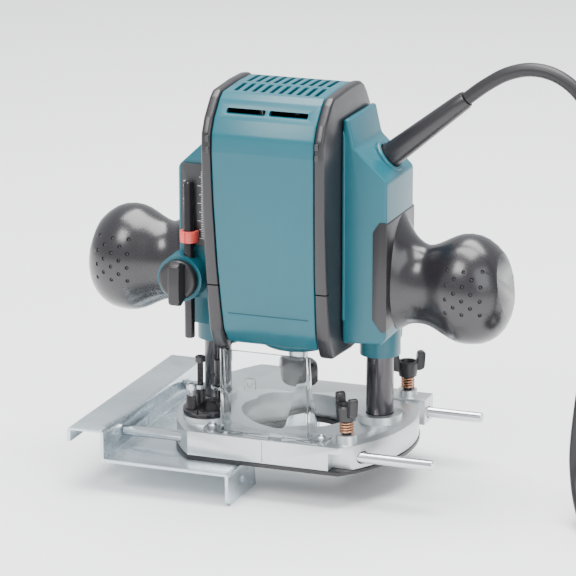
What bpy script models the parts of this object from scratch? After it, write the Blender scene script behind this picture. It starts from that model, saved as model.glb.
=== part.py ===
"""Plunge router with a straight guide, modelled as separate pieces.

X runs through both columns and handles, -Y is the front, +Z is up. The origin lies on the
spindle's axis, level with the lower edge of the straight guide. Lengths are in metres.
"""
import math

import bmesh
import bpy
from mathutils import Matrix, Vector

# clearances
GAP = 0.0003             # between pieces that touch
RUN_GAP = 0.0004         # between pieces that move on each other

# base
SOLE_Z = 0.0205          # underside of the base above the guide's lower edge
SHEET_THICK = 0.0022
BASE_HEIGHT = 0.0168     # casting's top above the underside
BASE_DEPTH = 0.122
BASE_WIDTH = 0.142
BASE_FLAT = 0.093        # length of the straight front and rear edges
BORE_RADIUS = 0.034
SHEET_BORE_RADIUS = 0.031

# columns and the motor head on them
COLUMN_SPACING = 0.102
COLUMN_RADIUS = 0.0081
COLUMN_WALL = 0.0017
COLUMN_LENGTH = 0.113
COLUMN_SEAT = 0.005      # depth that a column stands above the underside
PLUNGE_TRAVEL = 0.035
HEAD_LIFT = 0.070        # side housing's lower edge above the underside

# motor housing
PANEL_WIDTH = 0.062
BAND_WIDTH = 0.0057
SHELL_WALL = 0.0026
HOUSING_TOP = 0.2165     # above the underside
SIDE_OUT = 0.064         # outer face of the side housings from the middle
SIDE_FRONT = 0.029
SIDE_REAR = 0.020
BOSS_RADIUS = 0.0126
BOSS_DROP = 0.0125
NOSE_RADIUS = 0.0233

# handles
HANDLE_RADIUS = 0.0324
HANDLE_END = 0.130       # outermost point from the middle
HANDLE_LIFT = 0.1017     # centre line above the underside
HANDLE_SQUASH = 0.84     # depth over height

# spindle and motor
SHAFT_RADIUS = 0.0045
NUT_RADIUS = 0.0123
NUT_LIFT = 0.034
NUT_HEIGHT = 0.0135
ROTOR_RADIUS = 0.0165
STATOR_RADIUS = 0.0275

# depth stop
POLE_X = -0.0555
POLE_RADIUS = 0.003
POLE_SPACE = 0.0015      # between the pole and the side housing
POLE_Y = -(SIDE_FRONT + POLE_SPACE + POLE_RADIUS)
POLE_TOP = 0.1595        # above the underside
POLE_BOTTOM = 0.0655
TURRET_X = -0.0455
TURRET_Y = -0.0335
TURRET_RADIUS = 0.0138
TURRET_SEAT = 0.0205     # disc's underside above the underside of the base

# straight guide
ROD_RADIUS = 0.0031
ROD_Y = 0.0475
ROD_LIFT = 0.0086
ROD_END = 0.100
GUIDE_WALL = 0.002
GUIDE_LENGTH = 0.156
GUIDE_EDGE_X = -0.0145   # working face
GUIDE_WEB_X = -0.0945
GUIDE_OUTER_X = -0.1155
GUIDE_TOP = 0.0172       # above the underside
GUIDE_LIP = 0.009
SCREW_FRONT_X = 0.047    # thumb screws on the rods
SCREW_REAR_X = 0.0525

# cord
CORD_RADIUS = 0.004
GUARD_ROOT_RADIUS = 0.0072
GUARD_TIP_RADIUS = 0.0053
GUARD_LENGTH = 0.060
COIL_X = 0.236
COIL_MEAN_RADIUS = 0.045
COIL_BAND = 0.017        # width of the wound turns
COIL_HEIGHT = 0.033

COLUMN_X = COLUMN_SPACING / 2
COLUMN_TOP_Z = SOLE_Z + COLUMN_SEAT + COLUMN_LENGTH
HEAD_Z = SOLE_Z + HEAD_LIFT
BOSS_Z = HEAD_Z - BOSS_DROP
PANEL_HALF = PANEL_WIDTH / 2
BAND_IN = PANEL_HALF + GAP
BAND_OUT = BAND_IN + BAND_WIDTH
SIDE_IN = BAND_OUT + GAP
CASTING_LOW = SOLE_Z + SHEET_THICK + GAP
CASTING_TOP = SOLE_Z + BASE_HEIGHT
HANDLE_Z = SOLE_Z + HANDLE_LIFT
ROD_Z = SOLE_Z + ROD_LIFT
NUT_Z = SOLE_Z + NUT_LIFT


# ---------------------------------------------------------------- scene and materials

def clear_scene():
    for obj in list(bpy.data.objects):
        bpy.data.objects.remove(obj, do_unlink=True)


def new_collection(name):
    group = bpy.data.collections.new(name)
    bpy.context.scene.collection.children.link(group)
    return group


def material(name, color, roughness, metallic=0.0):
    mat = bpy.data.materials.new(name)
    mat.use_nodes = True
    shader = mat.node_tree.nodes["Principled BSDF"]
    shader.inputs["Base Color"].default_value = (*color, 1.0)
    shader.inputs["Roughness"].default_value = roughness
    shader.inputs["Metallic"].default_value = metallic
    return mat


clear_scene()
PARTS = new_collection("plunge_router")
CUTTERS = new_collection("cutters")
TEAL = material("teal_plastic", (0.06, 0.21, 0.26), 0.4)
BLACK = material("black_plastic", (0.03, 0.028, 0.03), 0.45)
RUBBER = material("black_rubber", (0.035, 0.033, 0.036), 0.5)
ALLOY = material("cast_alloy", (0.56, 0.58, 0.59), 0.42, 0.9)
STEEL = material("bright_steel", (0.62, 0.64, 0.66), 0.22, 1.0)
ZINC = material("zinc_sheet", (0.55, 0.6, 0.63), 0.35, 0.9)
DARK_STEEL = material("dark_steel", (0.04, 0.038, 0.04), 0.3, 0.7)
COPPER = material("copper", (0.7, 0.34, 0.2), 0.35, 1.0)
CLEAR = material("clear_plastic", (0.8, 0.85, 0.87), 0.08)
RED = material("red_plastic", (0.72, 0.07, 0.06), 0.4)
SCALE = material("scale_plate", (0.05, 0.05, 0.055), 0.4)
CARBON = material("carbon", (0.03, 0.03, 0.03), 0.6)


# ---------------------------------------------------------------- modelling helpers

def place(name, mesh, mat, group=None):
    obj = bpy.data.objects.new(name, mesh)
    (group or PARTS).objects.link(obj)
    if mat:
        mesh.materials.clear()
        mesh.materials.append(mat)
    return obj


def smooth(obj, angle=35):
    obj.data.shade_smooth()
    obj.data.set_sharp_from_angle(angle=math.radians(angle))
    return obj


def box(name, low, high, mat=None, group=None):
    low, high = Vector(low), Vector(high)
    bm = bmesh.new()
    bmesh.ops.create_cube(bm, size=1.0)
    bmesh.ops.scale(bm, vec=high - low, verts=bm.verts)
    bmesh.ops.translate(bm, vec=(low + high) / 2, verts=bm.verts)
    mesh = bpy.data.meshes.new(name)
    bm.to_mesh(mesh)
    bm.free()
    return place(name, mesh, mat, group)


def aim(axis):
    """Rotation that turns +Z to an axis."""
    return Vector((0, 0, 1)).rotation_difference(Vector(axis)).to_matrix().to_4x4()


def cylinder(name, start, end, radius, mat=None, group=None, end_radius=None, sides=24):
    start, end = Vector(start), Vector(end)
    bm = bmesh.new()
    bmesh.ops.create_cone(
        bm, cap_ends=True, segments=sides, radius1=radius,
        radius2=radius if end_radius is None else end_radius, depth=(end - start).length)
    bmesh.ops.transform(
        bm, matrix=Matrix.Translation((start + end) / 2) @ aim(end - start), verts=bm.verts)
    mesh = bpy.data.meshes.new(name)
    bm.to_mesh(mesh)
    bm.free()
    return smooth(place(name, mesh, mat, group))


def settle(obj):
    """The evaluated mesh of an object, welded, with its place in the mesh."""
    graph = bpy.context.evaluated_depsgraph_get()
    graph.update()
    mesh = bpy.data.meshes.new_from_object(obj.evaluated_get(graph))
    mesh.transform(obj.matrix_world)
    bm = bmesh.new()
    bm.from_mesh(mesh)
    bmesh.ops.remove_doubles(bm, verts=bm.verts, dist=0.00001)
    bm.to_mesh(mesh)
    bm.free()
    bpy.data.objects.remove(obj, do_unlink=True)
    return mesh


def turned(name, profile, centre, mat=None, axis=(0, 0, 1), steps=24, group=None):
    """A solid of revolution: (radius, height) points run down the outside, from the top."""
    mesh = bpy.data.meshes.new(name)
    edges = [(i, i + 1) for i in range(len(profile) - 1)]
    mesh.from_pydata([(radius, 0, height) for radius, height in profile], edges, [])
    obj = place(name, mesh, None, group)
    screw = obj.modifiers.new("turn", "SCREW")
    screw.steps = steps
    screw.render_steps = steps
    screw.use_merge_vertices = True
    screw.merge_threshold = 0.00001
    obj.matrix_world = Matrix.Translation(centre) @ aim(axis)
    bpy.context.view_layer.update()
    return smooth(place(name, settle(obj), mat, group))


def ring_profile(inner, outer, low, high):
    """A closed profile for a ring or tube."""
    return [(inner, high), (outer, high), (outer, low), (inner, low), (inner, high)]


def outline_solid(name, loops, low, high, mat=None, normal="Z", group=None):
    """A flat outline with its holes, given thickness from low to high along an axis."""
    data = bpy.data.curves.new(name, "CURVE")
    data.dimensions = "2D"
    data.fill_mode = "BOTH"
    data.extrude = (high - low) / 2
    for loop in loops:
        spline = data.splines.new("POLY")
        spline.points.add(len(loop) - 1)
        for point, (u, v) in zip(spline.points, loop):
            point.co = (u, v, 0, 1)
        spline.use_cyclic_u = True
    obj = bpy.data.objects.new(name, data)
    (group or PARTS).objects.link(obj)
    turn = {
        "Z": Matrix.Identity(4),
        "Y": Matrix.Rotation(math.radians(90), 4, "X"),
        "X": Matrix(((0, 0, 1, 0), (1, 0, 0, 0), (0, 1, 0, 0), (0, 0, 0, 1))),
    }[normal]
    middle = (low + high) / 2
    shift = {"Z": (0, 0, middle), "Y": (0, middle, 0), "X": (middle, 0, 0)}[normal]
    obj.matrix_world = Matrix.Translation(shift) @ turn
    bpy.context.view_layer.update()
    return smooth(place(name, settle(obj), mat, group))


def arc(centre, radius, start, end, count):
    """Points on an arc, angles in degrees."""
    points = []
    for i in range(count + 1):
        angle = math.radians(start + (end - start) * i / count)
        points.append((centre[0] + radius * math.cos(angle), centre[1] + radius * math.sin(angle)))
    return points


def circle(centre, radius, count=36):
    return arc(centre, radius, 0, 360, count)[:-1]


def round_rect(low, high, radius, count=4):
    (x0, y0), (x1, y1) = low, high
    corners = (((x1 - radius, y1 - radius), 0), ((x0 + radius, y1 - radius), 90),
               ((x0 + radius, y0 + radius), 180), ((x1 - radius, y0 + radius), 270))
    points = []
    for centre, start in corners:
        points += arc(centre, radius, start, start + 90, count)
    return points


def combine(target, tools, operation):
    """Cut or join solids, then drop the tools."""
    for tool in tools:
        change = target.modifiers.new(operation.lower(), "BOOLEAN")
        change.operation = operation
        change.solver = "EXACT"
        change.object = tool
        tool.hide_render = True
        tool.display_type = "WIRE"
        bpy.context.view_layer.update()
        graph = bpy.context.evaluated_depsgraph_get()
        mesh = bpy.data.meshes.new_from_object(target.evaluated_get(graph))
        target.modifiers.clear()
        mats = list(target.data.materials)
        target.data = mesh
        mesh.materials.clear()
        for mat in mats:
            mesh.materials.append(mat)
        bpy.data.objects.remove(tool, do_unlink=True)
    return smooth(target)


def cut(target, *tools):
    return combine(target, tools, "DIFFERENCE")


def join(target, *tools):
    return combine(target, tools, "UNION")


def bevel(obj, width, segments=2, angle=40):
    change = obj.modifiers.new("edges", "BEVEL")
    change.width = width
    change.segments = segments
    change.limit_method = "ANGLE"
    change.angle_limit = math.radians(angle)
    change.use_clamp_overlap = True
    change.harden_normals = False
    return obj


def bevel_now(obj, width, segments=2, angle=40):
    """Rounded edges made at once, before the piece is cut."""
    bevel(obj, width, segments, angle)
    bpy.context.view_layer.update()
    mats = list(obj.data.materials)
    mesh = bpy.data.meshes.new_from_object(
        obj.evaluated_get(bpy.context.evaluated_depsgraph_get()))
    obj.modifiers.clear()
    obj.data = mesh
    mesh.materials.clear()
    for mat in mats:
        mesh.materials.append(mat)
    return smooth(obj)


def cutter_cylinder(start, end, radius, sides=24, end_radius=None):
    return cylinder("cutter", start, end, radius, None, CUTTERS, end_radius, sides)


def cutter_box(low, high):
    return box("cutter", low, high, None, CUTTERS)


def tube(name, points, radius, mat, resolution=2):
    """A round bar along a smooth row of points."""
    data = bpy.data.curves.new(name, "CURVE")
    data.dimensions = "3D"
    data.bevel_depth = radius
    data.bevel_resolution = resolution
    data.use_fill_caps = True
    spline = data.splines.new("POLY")
    spline.points.add(len(points) - 1)
    for point, co in zip(spline.points, points):
        point.co = (*co, 1)
    data.materials.append(mat)
    obj = bpy.data.objects.new(name, data)
    PARTS.objects.link(obj)
    return obj


def set_origin(obj, point):
    """Puts an object's origin on a joint's axis and leaves its shape where it is."""
    offset = Vector(point)
    obj.data.transform(Matrix.Translation(-offset))
    obj.location = offset
    return obj


# ---------------------------------------------------------------- base

def base_outline(inset=0.0):
    """Straight front and rear edges joined by long side arcs."""
    half, flat, wide = BASE_DEPTH / 2, BASE_FLAT / 2, BASE_WIDTH / 2
    rise = wide - flat
    radius = (half * half + rise * rise) / (2 * rise)
    reach = math.degrees(math.asin(half / radius))
    right = arc((wide - radius, 0), radius - inset, -reach, reach, 12)
    left = arc((radius - wide, 0), radius - inset, 180 - reach, 180 + reach, 12)
    return right + left


SCREW_PLACES = {"front": (SCREW_FRONT_X, -ROD_Y), "rear": (SCREW_REAR_X, ROD_Y)}
THUMB_BOSS_RADIUS = 0.0062
THUMB_BOSS_TOP = CASTING_TOP + 0.005
THUMB_STEM_RADIUS = 0.0024
SHEET_SCREW_PLACES = [(x, y) for x in (-0.031, 0.031) for y in (-0.056, 0.056)]
SHEET_SCREW_RADIUS = 0.0016
SHEET_SCREW_HEAD = 0.0032


def make_base():
    casting = outline_solid(
        "base_casting", [base_outline(), circle((0, 0), BORE_RADIUS)], CASTING_LOW, CASTING_TOP, ALLOY)
    rim = 0.0045
    collars = [
        cutter_cylinder((COLUMN_X, 0, CASTING_LOW + rim), (COLUMN_X, 0, CASTING_TOP + rim), 0.014, 32),
        cutter_cylinder((-COLUMN_X, 0, CASTING_LOW + rim), (-COLUMN_X, 0, CASTING_TOP + rim), 0.0125, 32),
        cutter_cylinder((TURRET_X, TURRET_Y, CASTING_LOW + rim),
                        (TURRET_X, TURRET_Y, SOLE_Z + TURRET_SEAT - GAP), TURRET_RADIUS, 32),
        cutter_box((0.046, ROD_Y - 0.008, CASTING_LOW + 0.0002),
                   (0.066, ROD_Y + 0.008, CASTING_TOP + 0.0012)),
    ]
    for x, y in SCREW_PLACES.values():
        collars.append(cutter_cylinder((x, y, CASTING_TOP - rim), (x, y, THUMB_BOSS_TOP),
                                       THUMB_BOSS_RADIUS, 32))
    join(casting, *collars)
    holes = [cutter_cylinder((side * COLUMN_X, 0, SOLE_Z + COLUMN_SEAT - GAP), (side * COLUMN_X, 0, 0.06),
                             COLUMN_RADIUS + GAP, 32) for side in (-1, 1)]
    for y in (-ROD_Y, ROD_Y):
        holes.append(cutter_cylinder((-0.09, y, ROD_Z), (0.09, y, ROD_Z), ROD_RADIUS + RUN_GAP, 24))
    for x, y in SCREW_PLACES.values():
        holes.append(cutter_cylinder((x, y, ROD_Z), (x, y, THUMB_BOSS_TOP + 0.002),
                                     THUMB_STEM_RADIUS + RUN_GAP, 20))
    for x, y in SHEET_SCREW_PLACES:
        holes.append(cutter_cylinder((x, y, CASTING_LOW - 0.001), (x, y, CASTING_LOW + 0.0075),
                                     SHEET_SCREW_RADIUS + GAP, 16))
    holes.append(cutter_cylinder((TURRET_X, TURRET_Y, CASTING_LOW + 0.004), (TURRET_X, TURRET_Y, 0.06),
                                 TURRET_PIN_RADIUS + RUN_GAP, 24))
    holes.append(cutter_box((-0.0006, -BASE_DEPTH / 2 - 0.001, CASTING_LOW + 0.0015),
                            (0.0006, -BASE_DEPTH / 2 + 0.0007, CASTING_TOP - 0.0012)))
    holes.append(cutter_cylinder((LIMIT_X, LIMIT_Y, CASTING_LOW + 0.006), (LIMIT_X, LIMIT_Y, 0.06),
                                 LIMIT_RADIUS + GAP, 16))
    for x in (-SHIELD_SCREW_X, SHIELD_SCREW_X):
        holes.append(cutter_cylinder((x, SHIELD_SCREW_Y, CASTING_TOP - 0.006),
                                     (x, SHIELD_SCREW_Y, CASTING_TOP + 0.004), 0.0015 + GAP, 16))
    cut(casting, *holes)

    sheet = outline_solid("sole_sheet", [base_outline(-0.0006), circle((0, 0), SHEET_BORE_RADIUS)],
                          SOLE_Z, SOLE_Z + SHEET_THICK, BLACK)
    cut(sheet, *[cutter_cylinder((x, y, SOLE_Z - 0.001), (x, y, SOLE_Z + SHEET_THICK + 0.001),
                                 SHEET_SCREW_HEAD + GAP, 20) for x, y in SHEET_SCREW_PLACES])
    for number, (x, y) in enumerate(SHEET_SCREW_PLACES, 1):
        turned("sole_screw_%d" % number, [
            (0, 0.0075), (SHEET_SCREW_RADIUS, 0.0075), (SHEET_SCREW_RADIUS, 0.0018),
            (SHEET_SCREW_HEAD, 0.0013), (SHEET_SCREW_HEAD, 0.0), (0, 0.0)],
            (x, y, SOLE_Z + 0.0007), STEEL, steps=14)


def make_columns():
    for side, name in ((-1, "left"), (1, "right")):
        turned(name + "_column", ring_profile(
            COLUMN_RADIUS - COLUMN_WALL, COLUMN_RADIUS, 0, COLUMN_LENGTH),
            (side * COLUMN_X, 0, SOLE_Z + COLUMN_SEAT), DARK_STEEL, steps=28)
        low = SOLE_Z + COLUMN_SEAT + 0.0015
        high = BORE_TOP_Z - 0.0012
        turns, per_turn = 8, 7
        points = []
        for i in range(turns * per_turn + 1):
            angle = 2 * math.pi * i / per_turn
            points.append((side * COLUMN_X + SPRING_RADIUS * math.cos(angle),
                           SPRING_RADIUS * math.sin(angle),
                           low + (high - low) * i / (turns * per_turn)))
        tube(name + "_plunge_spring", points, 0.0007, STEEL, resolution=1)


SPRING_RADIUS = 0.0048
BORE_TOP_Z = COLUMN_TOP_Z + PLUNGE_TRAVEL + 0.004
TURRET_PIN_RADIUS = 0.0025
LIMIT_X = -0.0435
LIMIT_Y = -0.015
LIMIT_RADIUS = 0.0022
LIMIT_LENGTH = 0.118
LIMIT_NUT_RADIUS = 0.0039
SHIELD_SCREW_X = 0.0335
SHIELD_SCREW_Y = -0.0535
SHIELD_HALF = 0.0275
SHIELD_FRONT = -0.0585
SHIELD_WALL = 0.0018
SHIELD_TOP = 0.068       # above the underside


def make_shield():
    foot = CASTING_TOP + GAP
    top = SOLE_Z + SHIELD_TOP
    front = box("chip_shield", (-SHIELD_HALF, SHIELD_FRONT, foot),
                (SHIELD_HALF, SHIELD_FRONT + SHIELD_WALL, top), CLEAR)
    side = [(SHIELD_FRONT, foot), (SHIELD_FRONT + 0.0155, foot), (SHIELD_FRONT + 0.0145, SOLE_Z + 0.031),
            (SHIELD_FRONT + 0.0075, SOLE_Z + 0.041), (SHIELD_FRONT + 0.0035, SOLE_Z + 0.064),
            (SHIELD_FRONT + 0.0035, top), (SHIELD_FRONT, top)]
    walls = [outline_solid("cutter", [side], side_x, side_x + SHIELD_WALL, None, "X", CUTTERS)
             for side_x in (-SHIELD_HALF, SHIELD_HALF - SHIELD_WALL)]
    flange = outline_solid("cutter", [round_rect(
        (-SHIELD_SCREW_X - 0.0045, SHIELD_FRONT - 0.0015),
        (SHIELD_SCREW_X + 0.0045, SHIELD_FRONT + 0.0145), 0.003)], foot, foot + 0.002, None, "Z", CUTTERS)
    boss = cutter_box((-0.0115, SHIELD_FRONT - 0.001, SOLE_Z + 0.0455),
                      (-0.0045, SHIELD_FRONT + 0.001, SOLE_Z + 0.0525))
    join(front, *walls, flange, boss)
    cuts = [cutter_box((0.003, SHIELD_FRONT - 0.003, foot - 0.001),
                       (0.0115, SHIELD_FRONT + SHIELD_WALL + 0.002, foot + 0.0032))]
    for x in (-SHIELD_SCREW_X, SHIELD_SCREW_X):
        cuts.append(cutter_cylinder((x, SHIELD_SCREW_Y, foot - 0.001), (x, SHIELD_SCREW_Y, foot + 0.004),
                                    0.0015 + GAP, 16))
    cut(front, *cuts)
    for side_x, name in ((-SHIELD_SCREW_X, "left"), (SHIELD_SCREW_X, "right")):
        turned("shield_screw_" + name, [
            (0, 0.0042), (0.0018, 0.004), (0.0028, 0.0033), (0.0028, 0.0023), (0.0015, 0.0023),
            (0.0015, -0.004), (0, -0.004)], (side_x, SHIELD_SCREW_Y, foot), STEEL, steps=16)


def make_limit_rod():
    foot = CASTING_LOW + 0.006 + GAP
    cylinder("limit_rod", (LIMIT_X, LIMIT_Y, foot), (LIMIT_X, LIMIT_Y, foot + LIMIT_LENGTH),
             LIMIT_RADIUS, DARK_STEEL, sides=16)
    turned("limit_nut", ring_profile(LIMIT_RADIUS + GAP, LIMIT_NUT_RADIUS, 0, 0.0155),
           (LIMIT_X, LIMIT_Y, SOLE_Z + 0.0325), BLACK, steps=24)


def make_turret():
    seat = SOLE_Z + TURRET_SEAT
    disc = turned("stopper_block", [
        (0, 0.0045), (TURRET_RADIUS - 0.0012, 0.0045), (TURRET_RADIUS, 0.0033), (TURRET_RADIUS, 0),
        (TURRET_PIN_RADIUS, 0), (TURRET_PIN_RADIUS, -0.009), (0, -0.009)],
        (TURRET_X, TURRET_Y, seat), BLACK, steps=24)
    posts = []
    for angle, height, _ in POSTS.values():
        x, y = post_place(angle)
        posts.append(cutter_cylinder((x, y, seat + 0.002), (x, y, seat + height), POST_RADIUS, 24))
    join(disc, *posts)
    holes = []
    for angle, height, length in POSTS.values():
        if length:
            x, y = post_place(angle)
            holes.append(cutter_cylinder((x, y, seat + 0.006), (x, y, seat + height + 0.001),
                                         BOLT_RADIUS + GAP, 16))
    cut(disc, *holes)
    set_origin(disc, (TURRET_X, TURRET_Y, seat))
    for name, (angle, height, length) in POSTS.items():
        if not length:
            continue
        x, y = post_place(angle)
        top = seat + height + length
        bolt = turned("adjusting_bolt_" + name, [
            (0, 0), (0.0022, 0), (0.0031, -0.0008), (0.0031, -0.0034), (BOLT_RADIUS, -0.0036),
            (BOLT_RADIUS, -(length + height - 0.0065)), (0, -(length + height - 0.0065))],
            (x, y, top), DARK_STEEL, steps=16)
        set_origin(bolt, (x, y, top))


BOLT_RADIUS = 0.0019
POSTS = {"tall": (133, 0.0115, 0.0205), "middle": (228, 0.0115, 0.0075), "low": (5, 0.0075, 0)}
POST_RADIUS = 0.0035


def post_place(angle):
    turn = math.radians(angle)
    reach = TURRET_RADIUS - 0.0043
    return TURRET_X + reach * math.cos(turn), TURRET_Y + reach * math.sin(turn)


def make_thumb_screws():
    for name, (x, y) in SCREW_PLACES.items():
        lift = THUMB_BOSS_TOP + 0.0085
        knob = turned("thumb_screw_" + name, [
            (0, 0.0078), (0.0040, 0.0078), (0.0046, 0.009), (0.0058, 0.009), (0.0063, 0.008),
            (0.0056, 0.0), (THUMB_STEM_RADIUS, 0.0),
            (THUMB_STEM_RADIUS, -(lift - ROD_Z - ROD_RADIUS - RUN_GAP)),
            (0, -(lift - ROD_Z - ROD_RADIUS - RUN_GAP))], (x, y, lift), BLACK, steps=24)
        wings = []
        for side in (-1, 1):
            low, high = sorted((side * 0.0048, side * 0.0107))
            wing = outline_solid("cutter", [round_rect((low, 0.003), (high, 0.0148), 0.0025)],
                                 -0.0025, 0.0025, None, "Y", CUTTERS)
            wing.data.transform(Matrix.Translation((x, y, lift)) @ Matrix.Rotation(
                math.radians(WING_TURN[name]), 4, "Z"))
            wings.append(wing)
        join(knob, *wings)
        set_origin(knob, (x, y, lift))
        points = []
        turns, per_turn, rise = 3, 9, 0.0075
        for i in range(turns * per_turn + 1):
            angle = 2 * math.pi * i / per_turn
            points.append((x + 0.0036 * math.cos(angle), y + 0.0036 * math.sin(angle),
                           THUMB_BOSS_TOP + 0.0008 + (rise - 0.0012) * i / (turns * per_turn)))
        tube("thumb_spring_" + name, points, 0.0005, COPPER, resolution=1)


WING_TURN = {"front": -45, "rear": 35}


# ---------------------------------------------------------------- straight guide

def make_guide():
    wall = GUIDE_WALL
    top = SOLE_Z + GUIDE_TOP
    under = SOLE_Z - GAP
    half = GUIDE_LENGTH / 2
    outer, web, edge = GUIDE_OUTER_X, GUIDE_WEB_X, GUIDE_EDGE_X
    profile = [
        (outer, top - GUIDE_LIP), (outer, top), (web + wall, top), (web + wall, under),
        (edge, under), (edge, 0), (edge - wall, 0), (edge - wall, under - wall),
        (web, under - wall), (web, top - wall), (outer + wall, top - wall),
        (outer + wall, top - GUIDE_LIP)]
    guide = outline_solid("straight_guide", [profile], -half, half, ZINC, "Y")
    ear = 0.046
    cuts = [cutter_box((edge - wall - 0.001, ear - half, -0.001), (edge + 0.001, half - ear, under - wall))]
    for side in (-1, 1):
        cuts.append(cutter_cylinder((edge - 0.006, side * (half - 0.0225), SOLE_Z * 0.5),
                                    (edge + 0.006, side * (half - 0.0225), SOLE_Z * 0.5), 0.0024, 20))
        cuts.append(cutter_cylinder((web - 0.004, side * ROD_Y, ROD_Z), (web + 0.006, side * ROD_Y, ROD_Z),
                                    0.0022, 20))
    cuts.append(cutter_cylinder((0, 0, -0.001), (0, 0, SOLE_Z + 0.001), 0.030, 32))
    cut(guide, *cuts)
    for side, name in ((-1, "front"), (1, "rear")):
        rod = turned("guide_rod_" + name, [
            (0, ROD_END - web - wall - GAP), (ROD_RADIUS - 0.0007, ROD_END - web - wall - GAP),
            (ROD_RADIUS, ROD_END - web - wall - GAP - 0.0007), (ROD_RADIUS, 0),
            (0.0019 + GAP, 0), (0.0019 + GAP, 0.009), (0, 0.009)],
            (web + wall + GAP, side * ROD_Y, ROD_Z), STEEL, axis=(1, 0, 0), steps=20)
        turned("rod_screw_" + name, [
            (0, 0.0085), (0.0019, 0.0085), (0.0019, -GAP - wall), (0.0036, -GAP - wall),
            (0.0036, -0.0046), (0.0026, -0.0056), (0, -0.0056)],
            (web + wall + 0.0, side * ROD_Y, ROD_Z), STEEL, axis=(1, 0, 0), steps=16)


# ---------------------------------------------------------------- motor housing

def inset(points, distance):
    """An outline moved inwards; its points run anticlockwise."""
    moved = []
    count = len(points)
    for i, point in enumerate(points):
        here = Vector(point)
        before = (here - Vector(points[i - 1])).normalized()
        after = (Vector(points[(i + 1) % count]) - here).normalized()
        left = Vector((-before.y - after.y, before.x + after.x)).normalized()
        lean = max(0.5, left.dot(Vector((-before.y, before.x))))
        moved.append(tuple(here + left * distance / lean))
    return moved


def block_outline(drop=0.0, grow=0.0):
    """Side view of the motor block as (Y, Z), anticlockwise from the lower front."""
    low = 0.068 - drop
    points = [
        (-0.042, low), (-0.010, low - 0.002), (0.026, low), (0.037, 0.080), (0.040, 0.104), (0.039, 0.130),
        (0.036, 0.156), (0.0305, 0.180), (0.020, 0.203), (0.0085, HOUSING_TOP + 0.0015),
        (-0.018, HOUSING_TOP + 0.0015), (-0.042, HOUSING_TOP), (-0.0465, HOUSING_TOP - 0.003),
        (-0.0555, 0.2035), (-0.0597, 0.195), (-0.0603, 0.185), (-0.0588, 0.155), (-0.0555, 0.118),
        (-0.0515, 0.092), (-0.0485, 0.077)]
    return inset([(y, SOLE_Z + z) for y, z in points], -grow)


SPLIT_Y = 0.010
SLOT_PITCH = 0.0054
SLOT_WIDTH = 0.0026
SLOT_COUNT = 10


def turret_sweep():
    """Room that the adjusting bolts need as the stopper block turns with the head down."""
    return cutter_cylinder((TURRET_X, TURRET_Y, CASTING_TOP), (TURRET_X, TURRET_Y, SOLE_Z + RECESS_TOP),
                           TURRET_RADIUS + RUN_GAP, 32)


def make_shells():
    for name, low, high in (("front_housing", -0.2, SPLIT_Y - GAP / 2), ("rear_housing", SPLIT_Y + GAP / 2, 0.2)):
        outer = block_outline()
        shell = outline_solid(name, [outer, inset(outer, SHELL_WALL)], -PANEL_HALF, PANEL_HALF, TEAL, "X")
        keep = cutter_box((-0.1, low, 0), (0.1, high, 0.4))
        combine(shell, [keep], "INTERSECT")
        cuts = [cutter_cylinder((0, 0, SOLE_Z + 0.05), (0, 0, SOLE_Z + 0.085), NOSE_RADIUS + GAP, 48)]
        if name == "front_housing":
            for row_low, row_high in ((-0.0385, -0.0215), (-0.018, 0.004)):
                for i in range(SLOT_COUNT):
                    x = (i - (SLOT_COUNT - 1) / 2) * SLOT_PITCH
                    cuts.append(cutter_box((x - SLOT_WIDTH / 2, row_low, SOLE_Z + HOUSING_TOP - 0.006),
                                           (x + SLOT_WIDTH / 2, row_high, SOLE_Z + HOUSING_TOP + 0.006)))
            for side in (-1, 1):
                low_x, high_x = sorted((side * 0.0012, side * 0.0246))
                cuts.append(cutter_box((low_x, -0.062, SOLE_Z + 0.2062), (high_x, -0.045, SOLE_Z + 0.2092)))
        else:
            for i in range(5):
                z = SOLE_Z + 0.112 + i * 0.0065
                cuts.append(cutter_box((-0.018, 0.030, z), (0.018, 0.045, z + 0.003)))
            for x in (-0.024, 0.024):
                cuts.append(cutter_cylinder((x, 0.0, REAR_SCREW_Z), (x, 0.06, REAR_SCREW_Z),
                                            0.0019 + GAP, 16))
        cut(shell, *cuts)
    for side, name in ((-1, "left"), (1, "right")):
        low, high = sorted((side * BAND_IN, side * BAND_OUT))
        outline = block_outline(drop=0.0035, grow=0.0009)
        band = outline_solid(name + "_band", [outline], low, high, RUBBER, "X")
        bevel_now(band, 0.0016, 2, 50)
        pocket = outline_solid("cutter", [inset(outline, 0.006)], *sorted(
            (side * (BAND_IN - 0.001), side * (BAND_IN + 0.0034))), None, "X", CUTTERS)
        cut(band, pocket)
        if side < 0:
            cut(band, turret_sweep())
    for i, x in enumerate((-0.024, 0.024), 1):
        turned("housing_screw_%d" % i, [
            (0, 0.0024), (0.003, 0.0018), (0.0036, 0.0), (0.0019, 0.0), (0.0019, -0.012), (0, -0.012)],
            (x, 0.0402, REAR_SCREW_Z), STEEL, axis=(0, 1, 0), steps=14)


REAR_SCREW_Z = SOLE_Z + 0.104
SHOULDER = [(0.064, 0.1714), (0.0445, 0.1897), (0.0412, 0.2065)]
SIDE_WALL = 0.0026
RECESS_Y = -0.0203       # room for the adjusting bolts below the clamp
RECESS_TOP = 0.0890
CLAMP_X = -0.0595
CLAMP_LIFT = 0.102
CLAMP_BOSS_RADIUS = 0.0145
CLAMP_BOSS_FRONT = -0.0392
CLAMP_STEM = 0.0013
HANDLE_FRONT = -0.0234     # just ahead of the handle's root
SWITCH_LIFT = 0.150
LEVER_LIFT = 0.094


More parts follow.
